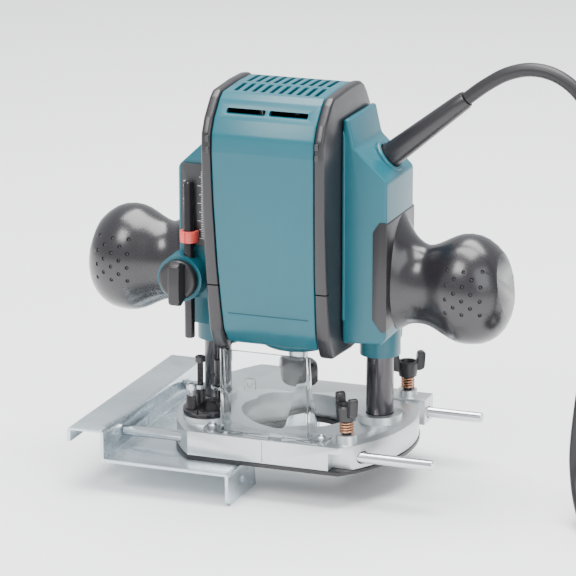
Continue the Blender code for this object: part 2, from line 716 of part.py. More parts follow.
def side_outline(side):
    """Front view of a side housing as (X, Z)."""
    points = [(SIDE_IN, HEAD_Z), (SIDE_OUT - 0.003, HEAD_Z + 0.001), (SIDE_OUT, HEAD_Z + 0.005)]
    points += [(x, SOLE_Z + z) for x, z in SHOULDER]
    points.append((SIDE_IN, SOLE_Z + 0.2075))
    return [(side * x, z) for x, z in points]


def make_side_housings():
    for side, name in ((-1, "left"), (1, "right")):
        shell = outline_solid(name + "_side_housing", [side_outline(side)], -SIDE_FRONT, SIDE_REAR, TEAL, "Y")
        bevel_now(shell, 0.0032, 3, 30)
        low_x, high_x = sorted((side * (SIDE_IN - 0.004), side * (SIDE_OUT - SIDE_WALL)))
        front = -SIDE_FRONT
        if side < 0:
            cut(shell, cutter_box((-SIDE_OUT - 0.01, -SIDE_FRONT - 0.01, HEAD_Z - 0.01),
                                  (-SIDE_IN + 0.001, RECESS_Y, SOLE_Z + RECESS_TOP)))
            front = RECESS_Y
        cavity = cutter_box((low_x, front + SIDE_WALL, HEAD_Z + SIDE_WALL),
                            (high_x, SIDE_REAR - SIDE_WALL, SOLE_Z + 0.1635))
        cut(shell, cavity)
        guide = cutter_cylinder((side * COLUMN_X, 0, BOSS_Z), (side * COLUMN_X, 0, BORE_TOP_Z + 0.0035),
                                BOSS_RADIUS, 28)
        join(shell, guide)
        cuts = [cutter_cylinder((side * COLUMN_X, 0, BOSS_Z - 0.001), (side * COLUMN_X, 0, BORE_TOP_Z),
                                COLUMN_RADIUS + RUN_GAP, 32)]
        if side < 0:
            boss = cutter_cylinder((CLAMP_X, RECESS_Y + 0.0002, SOLE_Z + CLAMP_LIFT),
                                   (CLAMP_X, CLAMP_BOSS_FRONT, SOLE_Z + CLAMP_LIFT), CLAMP_BOSS_RADIUS, 32)
            cut(boss, cutter_box((-0.1, HANDLE_FRONT, 0), (-SIDE_OUT - 0.0001, 0, 1)))
            join(shell, boss)
            cuts.append(cutter_cylinder((POLE_X, POLE_Y, 0.05), (POLE_X, POLE_Y, 0.3),
                                        POLE_RADIUS + RUN_GAP, 24))
            cuts.append(cutter_cylinder((LIMIT_X, LIMIT_Y, HEAD_Z - 0.002), (LIMIT_X, LIMIT_Y, HEAD_Z + 0.022),
                                        LIMIT_NUT_RADIUS + 0.0005, 24))
            cuts.append(cutter_cylinder((CLAMP_X, -0.050, SOLE_Z + CLAMP_LIFT),
                                        (CLAMP_X, CLAMP_BOSS_FRONT + CLAMP_STEM + GAP, SOLE_Z + CLAMP_LIFT),
                                        0.002 + RUN_GAP, 16))
        else:
            cuts.append(cutter_cylinder(guard_point(-GUARD_BURIED - GAP), guard_point(0.04),
                                        GUARD_ROOT_RADIUS + GAP, 32))
        cut(shell, *cuts)
    turned("bearing_nose", [
        (BEARING_RADIUS + GAP, 0.0195), (NOSE_RADIUS, 0.0195), (NOSE_RADIUS, 0.003), (NOSE_RADIUS - 0.002, 0),
        (SHAFT_RADIUS + 0.0035, 0), (SHAFT_RADIUS + 0.0035, 0.006), (BEARING_RADIUS + GAP, 0.006),
        (BEARING_RADIUS + GAP, 0.0195)], (0, 0, SOLE_Z + 0.0585), TEAL, steps=28)
    nose = bpy.data.objects["bearing_nose"]
    cut(nose, cutter_cylinder((0, 0.013, LOCK_BUTTON_Z), (0, 0.03, LOCK_BUTTON_Z),
                              LOCK_BUTTON_RADIUS + RUN_GAP, 20))
    button = cylinder("shaft_lock_button", (0, BEARING_RADIUS + 0.005, LOCK_BUTTON_Z),
                      (0, NOSE_RADIUS + 0.0035, LOCK_BUTTON_Z), LOCK_BUTTON_RADIUS, BLACK, sides=20)
    set_origin(button, (0, NOSE_RADIUS, LOCK_BUTTON_Z))
    box("depth_scale", (-0.0615, -SIDE_FRONT - GAP - 0.0008, SOLE_Z + 0.1205),
        (-0.0462, -SIDE_FRONT - GAP, SOLE_Z + 0.1695), SCALE)


BEARING_RADIUS = 0.011
LOCK_BUTTON_Z = SOLE_Z + 0.0635
LOCK_BUTTON_RADIUS = 0.0024


def make_handles():
    reach = HANDLE_END - SIDE_OUT - GAP
    stations = [(1.0, 0.0), (1.0, 0.36), (0.97, 0.56), (0.88, 0.80), (0.76, 0.95), (0.62, 1.0), (0.49, 0.945),
                (0.38, 0.83), (0.28, 0.74), (0.18, 0.71), (0.09, 0.735), (0.03, 0.80), (0.0, 0.84), (0.0, 0.0)]
    for side, name in ((-1, "left"), (1, "right")):
        handle = turned(name + "_handle", [(r * HANDLE_RADIUS, s * reach) for s, r in stations],
                        (side * (SIDE_OUT + GAP), 0, HANDLE_Z), RUBBER, axis=(side, 0, 0), steps=24)
        for vert in handle.data.vertices:
            vert.co.y *= HANDLE_SQUASH


GUARD_SLOPE = math.radians(39)
GUARD_BURIED = 0.010
GUARD_ROOT = Vector((0.0545, 0, SOLE_Z + 0.1795))


def guard_point(along):
    """A point on the cord guard's centre line, measured from the shoulder."""
    return GUARD_ROOT + Vector((math.cos(GUARD_SLOPE), 0, math.sin(GUARD_SLOPE))) * along


def make_depth_stop():
    pole = cylinder("stopper_pole", (POLE_X, POLE_Y, SOLE_Z + POLE_BOTTOM), (POLE_X, POLE_Y, SOLE_Z + POLE_TOP),
                    POLE_RADIUS, DARK_STEEL, sides=24)
    set_origin(pole, (POLE_X, POLE_Y, SOLE_Z + POLE_BOTTOM))
    mouth = 0.0007
    pointer = outline_solid("depth_pointer", [
        arc((POLE_X, POLE_Y), 0.0056, 150, 390, 20) + arc((POLE_X, POLE_Y), POLE_RADIUS + GAP, 390, 150, 20)],
        SOLE_Z + 0.1235, SOLE_Z + 0.1302, RED)
    slot = cutter_box((POLE_X - mouth, POLE_Y - 0.01, 0.1), (POLE_X + mouth, POLE_Y - 0.0045, 0.2))
    cut(pointer, slot)
    set_origin(pointer, (POLE_X, POLE_Y, SOLE_Z + 0.1235))
    face = CLAMP_BOSS_FRONT - GAP
    centre = (CLAMP_X, face, SOLE_Z + CLAMP_LIFT)
    knob = turned("clamp_knob", [
        (0, 0.005), (0.0095, 0.005), (0.0118, 0.003), (0.0118, 0.0), (0.002, 0.0),
        (0.002, -CLAMP_STEM), (0, -CLAMP_STEM)], centre, BLACK, axis=(0, -1, 0), steps=28)
    fin = outline_solid("cutter", [[(y, z) for y, z in FIN]], -FIN_HALF, FIN_HALF, None, "X", CUTTERS)
    fin.data.transform(Matrix.Translation((CLAMP_X + 0.002, face, SOLE_Z + CLAMP_LIFT)))
    bevel_now(fin, 0.0012, 2, 50)
    join(knob, fin)
    set_origin(knob, centre)


FIN = [(-0.003, -0.0105), (-0.010, -0.0135), (-0.0145, -0.012), (-0.0152, 0.0), (-0.0145, 0.0115),
       (-0.010, 0.0128), (-0.003, 0.0105)]
FIN_HALF = 0.0036


def make_controls():
    y = SIDE_REAR + GAP
    slider = box("switch_slider", (-0.057, y, SOLE_Z + SWITCH_LIFT - 0.009),
                 (-0.045, y + 0.0035, SOLE_Z + SWITCH_LIFT + 0.009), BLACK)
    ridges = [cutter_box((-0.056, y + 0.003, SOLE_Z + SWITCH_LIFT + z), (-0.046, y + 0.0048,
              SOLE_Z + SWITCH_LIFT + z + 0.0016)) for z in (-0.006, -0.0025, 0.001, 0.0045)]
    join(slider, *ridges)
    set_origin(slider, (-0.051, y, SOLE_Z + SWITCH_LIFT))
    pivot = (COLUMN_X, y, SOLE_Z + LEVER_LIFT)
    lever = turned("lock_lever", [(0, 0.008), (0.006, 0.008), (0.0075, 0.006), (0.0075, 0), (0, 0)],
                   pivot, BLACK, axis=(0, 1, 0), steps=24)
    arm = outline_solid("cutter", [[(COLUMN_X - 0.006, SOLE_Z + LEVER_LIFT), (COLUMN_X + 0.006, SOLE_Z + LEVER_LIFT),
                        (COLUMN_X + 0.0042, SOLE_Z + LEVER_LIFT - 0.034),
                        (COLUMN_X, SOLE_Z + LEVER_LIFT - 0.037),
                        (COLUMN_X - 0.0042, SOLE_Z + LEVER_LIFT - 0.034)]],
                        y + 0.002, y + 0.0075, None, "Y", CUTTERS)
    join(lever, arm)
    set_origin(lever, pivot)


# ---------------------------------------------------------------- motor

def make_motor():
    shaft_low = NUT_Z + 0.0125
    turned("spindle", [
        (0, SOLE_Z + 0.2075), (0.0033, SOLE_Z + 0.2075), (0.0033, SOLE_Z + 0.184),
        (SHAFT_RADIUS, SOLE_Z + 0.184), (SHAFT_RADIUS, SOLE_Z + 0.0565), (0.0058, SOLE_Z + 0.0565),
        (0.0058, shaft_low), (0.0044, shaft_low), (0.0044, shaft_low + 0.012), (0, shaft_low + 0.012)],
        (0, 0, 0), STEEL, steps=24)
    bore = SHAFT_RADIUS + GAP
    turned("lower_bearing", ring_profile(bore, BEARING_RADIUS, 0, 0.008), (0, 0, SOLE_Z + 0.0655), STEEL, steps=24)
    turned("fan", ring_profile(bore, 0.0255, 0, 0.002), (0, 0, SOLE_Z + 0.0845), BLACK, steps=24)
    blades = []
    for i in range(9):
        blade = cutter_box((0.0075, -0.0006, SOLE_Z + 0.0855), (0.0245, 0.0006, SOLE_Z + 0.0935))
        blade.data.transform(Matrix.Rotation(2 * math.pi * i / 9, 4, "Z"))
        blades.append(blade)
    join(bpy.data.objects["fan"], *blades)
    turned("rotor_core", ring_profile(bore, ROTOR_RADIUS, 0, 0.046), (0, 0, SOLE_Z + 0.1), COPPER, steps=24)
    turned("stator", ring_profile(ROTOR_RADIUS + 0.0008, STATOR_RADIUS, 0, 0.048),
           (0, 0, SOLE_Z + 0.099), DARK_STEEL, steps=28)
    turned("commutator", ring_profile(bore, 0.0105, 0, 0.015), (0, 0, SOLE_Z + 0.161), COPPER, steps=24)
    turned("upper_bearing", ring_profile(0.0033 + GAP, 0.008, 0, 0.006), (0, 0, SOLE_Z + 0.192), STEEL, steps=24)
    for side, name in ((-1, "left"), (1, "right")):
        low, high = sorted((side * (0.0105 + RUN_GAP), side * (PANEL_HALF - 0.003)))
        box(name + "_brush", (low, -0.0035, SOLE_Z + 0.164), (high, 0.0035, SOLE_Z + 0.173), CARBON)
    collet = turned("collet", ring_profile(0.0031, 0.0042, 0, 0.016), (0, 0, shaft_low - 0.006), STEEL, steps=20)
    nut = turned("collet_nut", [
        (0.0062, NUT_HEIGHT), (NUT_RADIUS - 0.0032, NUT_HEIGHT), (NUT_RADIUS, NUT_HEIGHT - 0.0035),
        (NUT_RADIUS, 0.0025), (NUT_RADIUS - 0.0015, 0.0), (0.0045, 0.0), (0.0045, 0.006),
        (0.0062, 0.0075), (0.0062, NUT_HEIGHT)], (0, 0, NUT_Z), DARK_STEEL, steps=24)
    flats = []
    for i in range(6):
        flat = cutter_box((0.0108, -0.02, NUT_Z - 0.001), (0.02, 0.02, NUT_Z + NUT_HEIGHT + 0.001))
        flat.data.transform(Matrix.Rotation(math.pi * (i + 0.5) / 3, 4, "Z"))
        flats.append(flat)
    cut(nut, *flats)
    return collet


# ---------------------------------------------------------------- cord

CORD_ROUTE = [
    (0.1017, 0.0, 0.2382), (0.1130, -0.0002, 0.2468), (0.1255, -0.0006, 0.2540), (0.1395, -0.0012, 0.2575),
    (0.1535, -0.0020, 0.2555), (0.1660, -0.0030, 0.2480), (0.1755, -0.0042, 0.2360), (0.1815, -0.0056, 0.2205), (0.1845, -0.0075, 0.2020), (0.1852, -0.0098, 0.1800),
    (0.1850, -0.0125, 0.1550), (0.1842, -0.0155, 0.1290), (0.1826, -0.0187, 0.1030),
    (0.1803, -0.0217, 0.0780), (0.1784, -0.0237, 0.0560), (0.1775, -0.0245, 0.0383),
    (0.1783, -0.0259, 0.0278), (0.1807, -0.0301, 0.0183), (0.1845, -0.0366, 0.0108),
    (0.1893, -0.0449, 0.0060), (0.1945, -0.0539, 0.0043), (0.2083, -0.0606, 0.0043)]
COIL_Y = -0.0085
PLUG_LENGTH = 0.036


def smooth_route(points, spacing):
    """Points about one spacing apart on a smooth curve through the given ones."""
    row = [Vector(p) for p in points]
    row = [row[0] * 2 - row[1]] + row + [row[-1] * 2 - row[-2]]
    result = []
    for i in range(1, len(row) - 2):
        steps = max(1, round((row[i + 1] - row[i]).length / spacing))
        for k in range(steps):
            t = k / steps
            result.append(0.5 * (
                2 * row[i] + (row[i + 1] - row[i - 1]) * t
                + (2 * row[i - 1] - 5 * row[i] + 4 * row[i + 1] - row[i + 2]) * t * t
                + (3 * row[i] - row[i - 1] - 3 * row[i + 1] + row[i + 2]) * t ** 3))
    result.append(row[-2])
    return result


def make_cord():
    start = guard_point(-GUARD_BURIED)
    guard = turned("cord_guard", [
        (0, GUARD_BURIED + GUARD_LENGTH), (GUARD_TIP_RADIUS, GUARD_BURIED + GUARD_LENGTH),
        (GUARD_ROOT_RADIUS, GUARD_BURIED + 0.004), (GUARD_ROOT_RADIUS, 0), (0, 0)],
        start, RUBBER, axis=guard_point(1) - guard_point(0), steps=24)
    tube("cord_tube", smooth_route(CORD_ROUTE, 0.016), CORD_RADIUS, RUBBER, resolution=2)
    turned("cord_coil", ring_profile(COIL_MEAN_RADIUS - COIL_BAND / 2, COIL_MEAN_RADIUS + COIL_BAND / 2,
                                     GAP, COIL_HEIGHT), (COIL_X, COIL_Y, 0), RUBBER, steps=28)
    top = COIL_HEIGHT + GAP
    y = COIL_Y + COIL_MEAN_RADIUS
    plug = box("plug", (COIL_X - PLUG_LENGTH, y - 0.012, top), (COIL_X, y + 0.012, top + 0.018), RUBBER)
    bevel_now(plug, 0.003, 2, 50)
    tools = [cutter_cylinder((COIL_X - PLUG_LENGTH - 0.018, y + pin, top + 0.009),
                             (COIL_X - PLUG_LENGTH + 0.002, y + pin, top + 0.009), 0.0022, 12)
             for pin in (-0.0095 + 0.002, 0.0095 - 0.002)]
    tools.append(cutter_cylinder((COIL_X - 0.002, y, top + 0.009), (COIL_X + 0.018, y, top + 0.009), 0.0072, 20,
                                 0.0052))
    join(plug, *tools)
    return guard


def build():
    make_base()
    make_columns()
    make_shield()
    make_limit_rod()
    make_turret()
    make_thumb_screws()
    make_guide()
    make_shells()
    make_side_housings()
    make_handles()
    make_depth_stop()
    make_controls()
    make_motor()
    make_cord()
    bpy.data.collections.remove(CUTTERS)


build()
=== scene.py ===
"""Plunge router with a straight guide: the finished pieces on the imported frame.

Lengths are in metres. X runs through both columns, -Y is the front and +Z is up, with the
guide's lower edge on the floor. Run it as a script in Blender 4.5.
"""

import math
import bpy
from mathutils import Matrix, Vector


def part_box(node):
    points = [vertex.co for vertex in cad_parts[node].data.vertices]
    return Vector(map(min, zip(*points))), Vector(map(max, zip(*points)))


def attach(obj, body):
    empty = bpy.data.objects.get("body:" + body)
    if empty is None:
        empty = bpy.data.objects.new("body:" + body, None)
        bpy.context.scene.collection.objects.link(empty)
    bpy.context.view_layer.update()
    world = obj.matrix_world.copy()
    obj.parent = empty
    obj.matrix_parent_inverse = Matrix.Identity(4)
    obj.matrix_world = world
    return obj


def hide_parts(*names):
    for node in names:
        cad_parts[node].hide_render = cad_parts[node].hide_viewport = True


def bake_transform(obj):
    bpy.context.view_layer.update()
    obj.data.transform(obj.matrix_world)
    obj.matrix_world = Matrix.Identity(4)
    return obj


bl_info = {
    "name": "Plunge Router",
    "version": (1, 0, 0),
    "blender": (4, 5, 0),
    "location": "3D Viewport > Sidebar > Router",
    "description": "Builds a plunge router with a straight guide, piece by piece",
    "category": "Mesh",
}

import bpy
from bpy.props import FloatProperty, FloatVectorProperty, IntProperty, PointerProperty
from bpy.types import Operator, Panel, PropertyGroup
from mathutils import Vector

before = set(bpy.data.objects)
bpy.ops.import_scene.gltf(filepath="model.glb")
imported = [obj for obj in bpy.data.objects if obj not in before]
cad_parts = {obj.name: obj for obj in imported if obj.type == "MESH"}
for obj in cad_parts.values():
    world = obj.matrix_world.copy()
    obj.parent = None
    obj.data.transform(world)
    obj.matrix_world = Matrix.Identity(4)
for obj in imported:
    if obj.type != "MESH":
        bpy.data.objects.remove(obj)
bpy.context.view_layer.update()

GAP = 0.0003
SOLE_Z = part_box("sole_sheet")[0][2]
CASTING_LOW, CASTING_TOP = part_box("base_casting")[0][2], SOLE_Z + 0.0168
COLUMN_X = 0.051
ROD_Y = 0.0475
ROD_Z = SOLE_Z + 0.0086
PANEL_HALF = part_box("front_housing")[1][0]
BAND_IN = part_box("right_band")[0][0]
BAND_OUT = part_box("right_band")[1][0]
SIDE_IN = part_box("right_side_housing")[0][0]
SIDE_OUT = 0.064
SIDE_FRONT = 0.029
SIDE_REAR = 0.020
HEAD_Z = SOLE_Z + 0.070
HOUSING_TOP = 0.2165
HANDLE_Z = SOLE_Z + 0.1017
HANDLE_END, HANDLE_RADIUS, HANDLE_FLATTEN = 0.130, 0.0324, 0.84
POLE = (-0.0555, -0.0335)
TURRET = (-0.0455, -0.0335)
LIMIT = (-0.0435, -0.015)
CLAMP = (-0.0595, SOLE_Z + 0.102)
CLAMP_BOSS_FRONT = -0.0392
THUMB_BOSS_TOP = CASTING_TOP + 0.005
THUMBS = {"front": (0.047, -ROD_Y), "rear": (0.0525, ROD_Y)}
THUMB_AIMS = {"front": -45, "rear": 35}
SHIELD_SCREW_X, SHIELD_SCREW_Y = 0.0335, -0.0535
SHELL_SPLIT_Y = 0.010
SHELL_SCREW_X, SHELL_SCREW_Z = 0.024, SOLE_Z + 0.104
RECESS_Y, RECESS_TOP = -0.0203, SOLE_Z + 0.0890
LOCK_BUTTON_Z = SOLE_Z + 0.0635
GUARD_ROOT = Vector((0.0550, 0, SOLE_Z + 0.1757))
GUARD_SLOPE = math.radians(39)
GUARD_AXIS = Vector((math.cos(GUARD_SLOPE), 0, math.sin(GUARD_SLOPE)))
COIL_CENTRE = (0.236, -0.0085)
CORD_ROUTE = [
    (0.1022, 0, 0.2344), (0.1135, -0.0002, 0.2431), (0.1258, -0.0006, 0.2503), (0.1396, -0.0012, 0.2538),
    (0.1535, -0.0020, 0.2520), (0.1660, -0.0030, 0.2448), (0.1755, -0.0042, 0.2332),
    (0.1815, -0.0056, 0.2180), (0.1845, -0.0075, 0.2005), (0.1852, -0.0098, 0.1800),
    (0.1850, -0.0125, 0.1550), (0.1842, -0.0155, 0.1290), (0.1826, -0.0187, 0.1030),
    (0.1803, -0.0217, 0.0780), (0.1784, -0.0237, 0.0560), (0.1775, -0.0245, 0.0383),
    (0.1783, -0.0259, 0.0278), (0.1807, -0.0301, 0.0183), (0.1845, -0.0366, 0.0108),
    (0.1893, -0.0449, 0.0060), (0.1945, -0.0539, 0.0043), (0.2083, -0.0606, 0.0043)]


# ---------------------------------------------------------------- sizes and colours

class RouterSizes(PropertyGroup):
    """Sizes of the finished pieces."""
    edge_round: FloatProperty(name="Edge round", description="Rounding of the moulded edges",
                              default=0.0008, min=0.0001, max=0.003, unit="LENGTH")
    slot_count: IntProperty(name="Top slots", description="Air slots in each row on the top",
                            default=10, min=2, max=12)
    slot_width: FloatProperty(name="Slot width", description="Width of an air slot",
                              default=0.0026, min=0.001, max=0.004, unit="LENGTH")
    panel_taper: FloatProperty(name="Panel taper",
                               description="How much narrower each edge of the panel is at its foot",
                               default=0.0030, min=0.0, max=0.005, unit="LENGTH")
    dimple_radius: FloatProperty(name="Grip dimple", description="Radius of a dimple in the handles",
                                 default=0.0012, min=0.0005, max=0.002, unit="LENGTH")
    cord_radius: FloatProperty(name="Cord radius", description="Half the cord's thickness",
                               default=0.004, min=0.003, max=0.005, unit="LENGTH")


def colour(name, default):
    return FloatVectorProperty(name=name, description="Colour of the " + name.lower(), subtype="COLOR",
                               size=3, min=0.0, max=1.0, default=default)


class RouterColours(PropertyGroup):
    """Colours of the finishes."""
    shell: colour("Moulded shell", (0.008, 0.098, 0.130))
    rubber: colour("Soft rubber", (0.011, 0.0095, 0.012))
    black: colour("Black moulding", (0.014, 0.013, 0.015))
    alloy: colour("Cast alloy", (0.60, 0.63, 0.64))
    steel: colour("Bright steel", (0.66, 0.68, 0.70))
    zinc: colour("Zinc sheet", (0.56, 0.63, 0.67))
    oxide: colour("Black oxide", (0.045, 0.042, 0.045))
    pointer: colour("Pointer", (0.72, 0.085, 0.07))
    copper: colour("Copper", (0.60, 0.31, 0.18))
    shield: colour("Clear shield", (0.90, 0.94, 0.95))


# ---------------------------------------------------------------- finishes

class Value:
    """A number that changes over a surface; arithmetic on it adds Math nodes."""

    def __init__(self, finish, socket):
        self.finish = finish
        self.socket = socket

    def math(self, operation, first, second=0.0):
        return self.finish.node("ShaderNodeMath", {"operation": operation}, {0: first, 1: second})

    def __add__(self, other):
        return self.math("ADD", self, other)

    __radd__ = __add__

    def __sub__(self, other):
        return self.math("SUBTRACT", self, other)

    def __rsub__(self, other):
        return self.math("SUBTRACT", other, self)

    def __mul__(self, other):
        return self.math("MULTIPLY", self, other)

    __rmul__ = __mul__


class Finish:
    """A material under construction, with its shader and its slot name."""

    def __init__(self, name, slot, **constants):
        self.slot = slot
        self.material = bpy.data.materials.new(name)
        self.material.use_nodes = True
        self.tree = self.material.node_tree
        self.shader = self.tree.nodes["Principled BSDF"]
        for socket, value in constants.items():
            self.shader.inputs[socket.replace("_", " ")].default_value = value

    def node(self, kind, settings=None, inputs=None, output=0):
        new = self.tree.nodes.new(kind)
        for name, value in (settings or {}).items():
            setattr(new, name, value)
        for socket, value in (inputs or {}).items():
            if isinstance(value, Value):
                self.tree.links.new(value.socket, new.inputs[socket])
            else:
                new.inputs[socket].default_value = value
        return Value(self, new.outputs[output])

    def feed(self, **inputs):
        for name, value in inputs.items():
            self.tree.links.new(value.socket, self.shader.inputs[name.replace("_", " ")])

    def place(self, scale=(1, 1, 1)):
        where = self.node("ShaderNodeTexCoord", output=3)
        return self.node("ShaderNodeMapping", inputs={"Vector": where, "Scale": scale})

    def noise(self, scale, detail=3.0, roughness=0.55, stretch=(1, 1, 1)):
        return self.node("ShaderNodeTexNoise", inputs={
            "Vector": self.place(stretch), "Scale": scale, "Detail": detail, "Roughness": roughness})

    def cells(self, scale, output=0, feature="F1"):
        return self.node("ShaderNodeTexVoronoi", {"feature": feature},
                         {"Vector": self.place(), "Scale": scale}, output)

    def step(self, value, low, high):
        """0 below low and 1 above high, smooth between."""
        return self.node("ShaderNodeMapRange", {"interpolation_type": "SMOOTHSTEP"},
                         {"Value": value, "From Min": low, "From Max": high})

    def mix(self, factor, first, second):
        ends = {6: first if isinstance(first, Value) else (*first, 1.0),
                7: second if isinstance(second, Value) else (*second, 1.0)}
        return self.node("ShaderNodeMix", {"data_type": "RGBA"}, {0: factor, **ends}, 2)

    def bump(self, height, depth, strength=1.0):
        return self.node("ShaderNodeBump",
                         inputs={"Height": height, "Distance": depth, "Strength": strength})


def tint(base, amount):
    return tuple(min(1.0, channel * amount) for channel in base)


def moulded(name, slot, base, roughness, grain, scuffs=0.5, **constants):
    """Moulded plastic: spark-eroded grain, slight tone drift, handling marks that shine."""
    skin = Finish(name, slot, **constants)
    drift = skin.noise(22.0, 4.0)
    fine = skin.noise(grain, 2.0)
    rub = skin.step(skin.noise(55.0, 6.0, 0.7, (1, 1, 0.35)), 0.56, 0.74) * scuffs
    tone = skin.mix(drift, tint(base, 0.90), tint(base, 1.10))
    tone = skin.mix(rub * 0.35, tone, tint(base, 1.5))
    skin.feed(Base_Color=tone,
              Roughness=roughness + (drift - 0.5) * 0.12 + (fine - 0.5) * 0.10 - rub * 0.08,
              Normal=skin.bump(fine * 0.7 + skin.noise(grain * 0.3, 2.0) * 0.3, 0.00012, 0.35))
    return skin


def cast_metal(name, slot, base, roughness, grain, **constants):
    """Cast or rolled metal: fine pits, cloudy satin and faint flow marks."""
    skin = Finish(name, slot, **constants)
    cloud = skin.noise(26.0, 5.0, 0.6)
    fine = skin.noise(grain, 3.0, 0.6)
    pits = skin.step(skin.cells(grain * 0.45), 0.22, 0.05)
    flow = skin.noise(60.0, 3.0, 0.5, (0.3, 1.0, 2.5))
    tone = skin.mix(cloud, tint(base, 0.88), tint(base, 1.08))
    tone = skin.mix(pits * 0.3, tone, tint(base, 0.55))
    skin.feed(Base_Color=tone,
              Roughness=roughness + (cloud - 0.5) * 0.16 + (flow - 0.5) * 0.10 + pits * 0.1,
              Normal=skin.bump(fine * 0.6 - pits * 0.5, 0.00010, 0.45))
    return skin


def drawn_metal(name, slot, base, roughness, along, **constants):
    """Ground or drawn metal: fine lines, faint stains and a few nicks."""
    skin = Finish(name, slot, **constants)
    lines = skin.noise(1.0, 4.0, 0.6, along)
    stain = skin.noise(40.0, 5.0, 0.6)
    nicks = skin.step(skin.noise(320.0, 2.0), 0.70, 0.78)
    tone = skin.mix(lines, tint(base, 0.86), tint(base, 1.10))
    tone = skin.mix(skin.step(stain, 0.55, 0.8) * 0.35, tone, tint(base, 0.7))
    skin.feed(Base_Color=tone,
              Roughness=roughness + (lines - 0.5) * 0.14 + (stain - 0.5) * 0.12 + nicks * 0.1,
              Normal=skin.bump(lines * 0.6 + nicks * 0.4, 0.00004, 0.4))
    return skin


def zinc_plate(base):
    """Plated sheet: crystal patches, rolling streaks and soft smears."""
    skin = Finish("zinc_sheet", "zinc_sheet", Metallic=0.85)
    patch = skin.cells(95.0, 1)
    value = skin.node("ShaderNodeSeparateColor", inputs={0: patch})
    streak = skin.noise(1.0, 5.0, 0.6, (14.0, 160.0, 40.0))
    smear = skin.noise(18.0, 5.0, 0.62, (1.0, 0.4, 1.0))
    tone = skin.mix(streak * 0.5 + smear * 0.5, tint(base, 0.84), tint(base, 1.14))
    tone = skin.mix(value * 0.14, tone, tint(base, 1.3))
    skin.feed(Base_Color=tone,
              Roughness=0.27 + (smear - 0.5) * 0.22 + (value - 0.5) * 0.05 + (streak - 0.5) * 0.08,
              Normal=skin.bump(streak * 0.5 + smear * 0.5, 0.00012, 0.35))
    return skin


def clear_moulding(base):
    """Clear moulding: glassy, with faint ripples and rubbing haze."""
    skin = Finish("clear_shield", "clear_plastic", Transmission_Weight=1.0, IOR=1.10, Coat_Weight=0.7,
                  Coat_Roughness=0.05)
    haze = skin.noise(45.0, 5.0, 0.65)
    tone = skin.mix(haze, tint(base, 0.97), tint(base, 1.04))
    skin.feed(Base_Color=tone, Roughness=0.04 + skin.step(haze, 0.5, 0.8) * 0.12,
              Normal=skin.bump(skin.noise(120.0, 2.0), 0.00006, 0.25))
    return skin


def scale_print():
    """White printing on the scale."""
    skin = Finish("scale_print", "scale_plate", Specular_IOR_Level=0.3)
    wear = skin.noise(700.0, 3.0)
    skin.feed(Base_Color=skin.mix(skin.step(wear, 0.35, 0.6), (0.60, 0.60, 0.58), (0.86, 0.86, 0.84)),
              Roughness=0.45 + (wear - 0.5) * 0.2)
    return skin


SKINS = {}


def prepare_finishes(hues):
    """Every finish of the router, by name."""
    SKINS.update(
        shell=moulded("teal_shell", "teal_shell", hues.shell, 0.33, 1500.0, 0.4, Specular_IOR_Level=0.45),
        rubber=moulded("soft_rubber", "black_rubber", hues.rubber, 0.34, 2200.0, 0.7,
                       Specular_IOR_Level=0.6),
        grip=moulded("grip_rubber", "black_rubber", hues.rubber, 0.26, 1800.0, 0.8, Specular_IOR_Level=0.6,
                     Coat_Weight=0.25, Coat_Roughness=0.18),
        cord=moulded("cord_jacket", "black_rubber", tint(hues.rubber, 0.9), 0.45, 2600.0, 0.4),
        black=moulded("black_moulding", "black_plastic", hues.black, 0.38, 1600.0, 0.6),
        red=moulded("red_moulding", "red_plastic", hues.pointer, 0.33, 1500.0, 0.3),
        plate=moulded("scale_plate", "scale_plate", (0.032, 0.033, 0.037), 0.42, 1400.0, 0.3),
        carbon=moulded("pressed_carbon", "carbon", (0.03, 0.03, 0.032), 0.62, 900.0, 0.2),
        alloy=cast_metal("cast_alloy", "cast_alloy", hues.alloy, 0.34, 900.0, Metallic=0.9),
        steel=drawn_metal("bright_steel", "bright_steel", hues.steel, 0.20, (14.0, 900.0, 900.0),
                          Metallic=1.0),
        screw=drawn_metal("screw_steel", "bright_steel", tint(hues.steel, 0.8), 0.30, (500.0, 500.0, 90.0),
                          Metallic=1.0),
        oxide=drawn_metal("black_oxide", "dark_steel", hues.oxide, 0.24, (60.0, 60.0, 1500.0),
                          Metallic=0.75),
        column=drawn_metal("column_steel", "dark_steel", tint(hues.oxide, 1.9), 0.20, (500.0, 500.0, 30.0),
                           Metallic=0.85),
        copper=drawn_metal("copper_wire", "copper", hues.copper, 0.30, (700.0, 700.0, 60.0), Metallic=1.0),
        zinc=zinc_plate(hues.zinc), clear=clear_moulding(hues.shield), ink=scale_print())


# ---------------------------------------------------------------- modelling by operators

def nothing_selected():
    if bpy.context.mode != "OBJECT":
        bpy.ops.object.mode_set(mode="OBJECT")
    bpy.ops.object.select_all(action="DESELECT")


def pick(piece):
    nothing_selected()
    piece.select_set(True)
    bpy.context.view_layer.objects.active = piece
    return piece


def added(name):
    """The primitive just added, named, with its place put into its mesh."""
    piece = bpy.context.object
    piece.name = piece.data.name = name
    pick(piece)
    bpy.ops.object.transform_apply(location=True, rotation=True, scale=True)
    return piece


def modify(piece, kind, **settings):
    pick(piece)
    change = piece.modifiers.new(kind.title(), kind)
    for name, value in settings.items():
        setattr(change, name, value)
    bpy.ops.object.modifier_apply(modifier=change.name)
    return piece


def edit(piece, *steps):
    """Runs edit-mode operators on the whole mesh."""
    pick(piece)
    bpy.ops.object.mode_set(mode="EDIT")
    bpy.ops.mesh.select_all(action="SELECT")
    for step in steps:
        step()
    bpy.ops.object.mode_set(mode="OBJECT")
    return piece


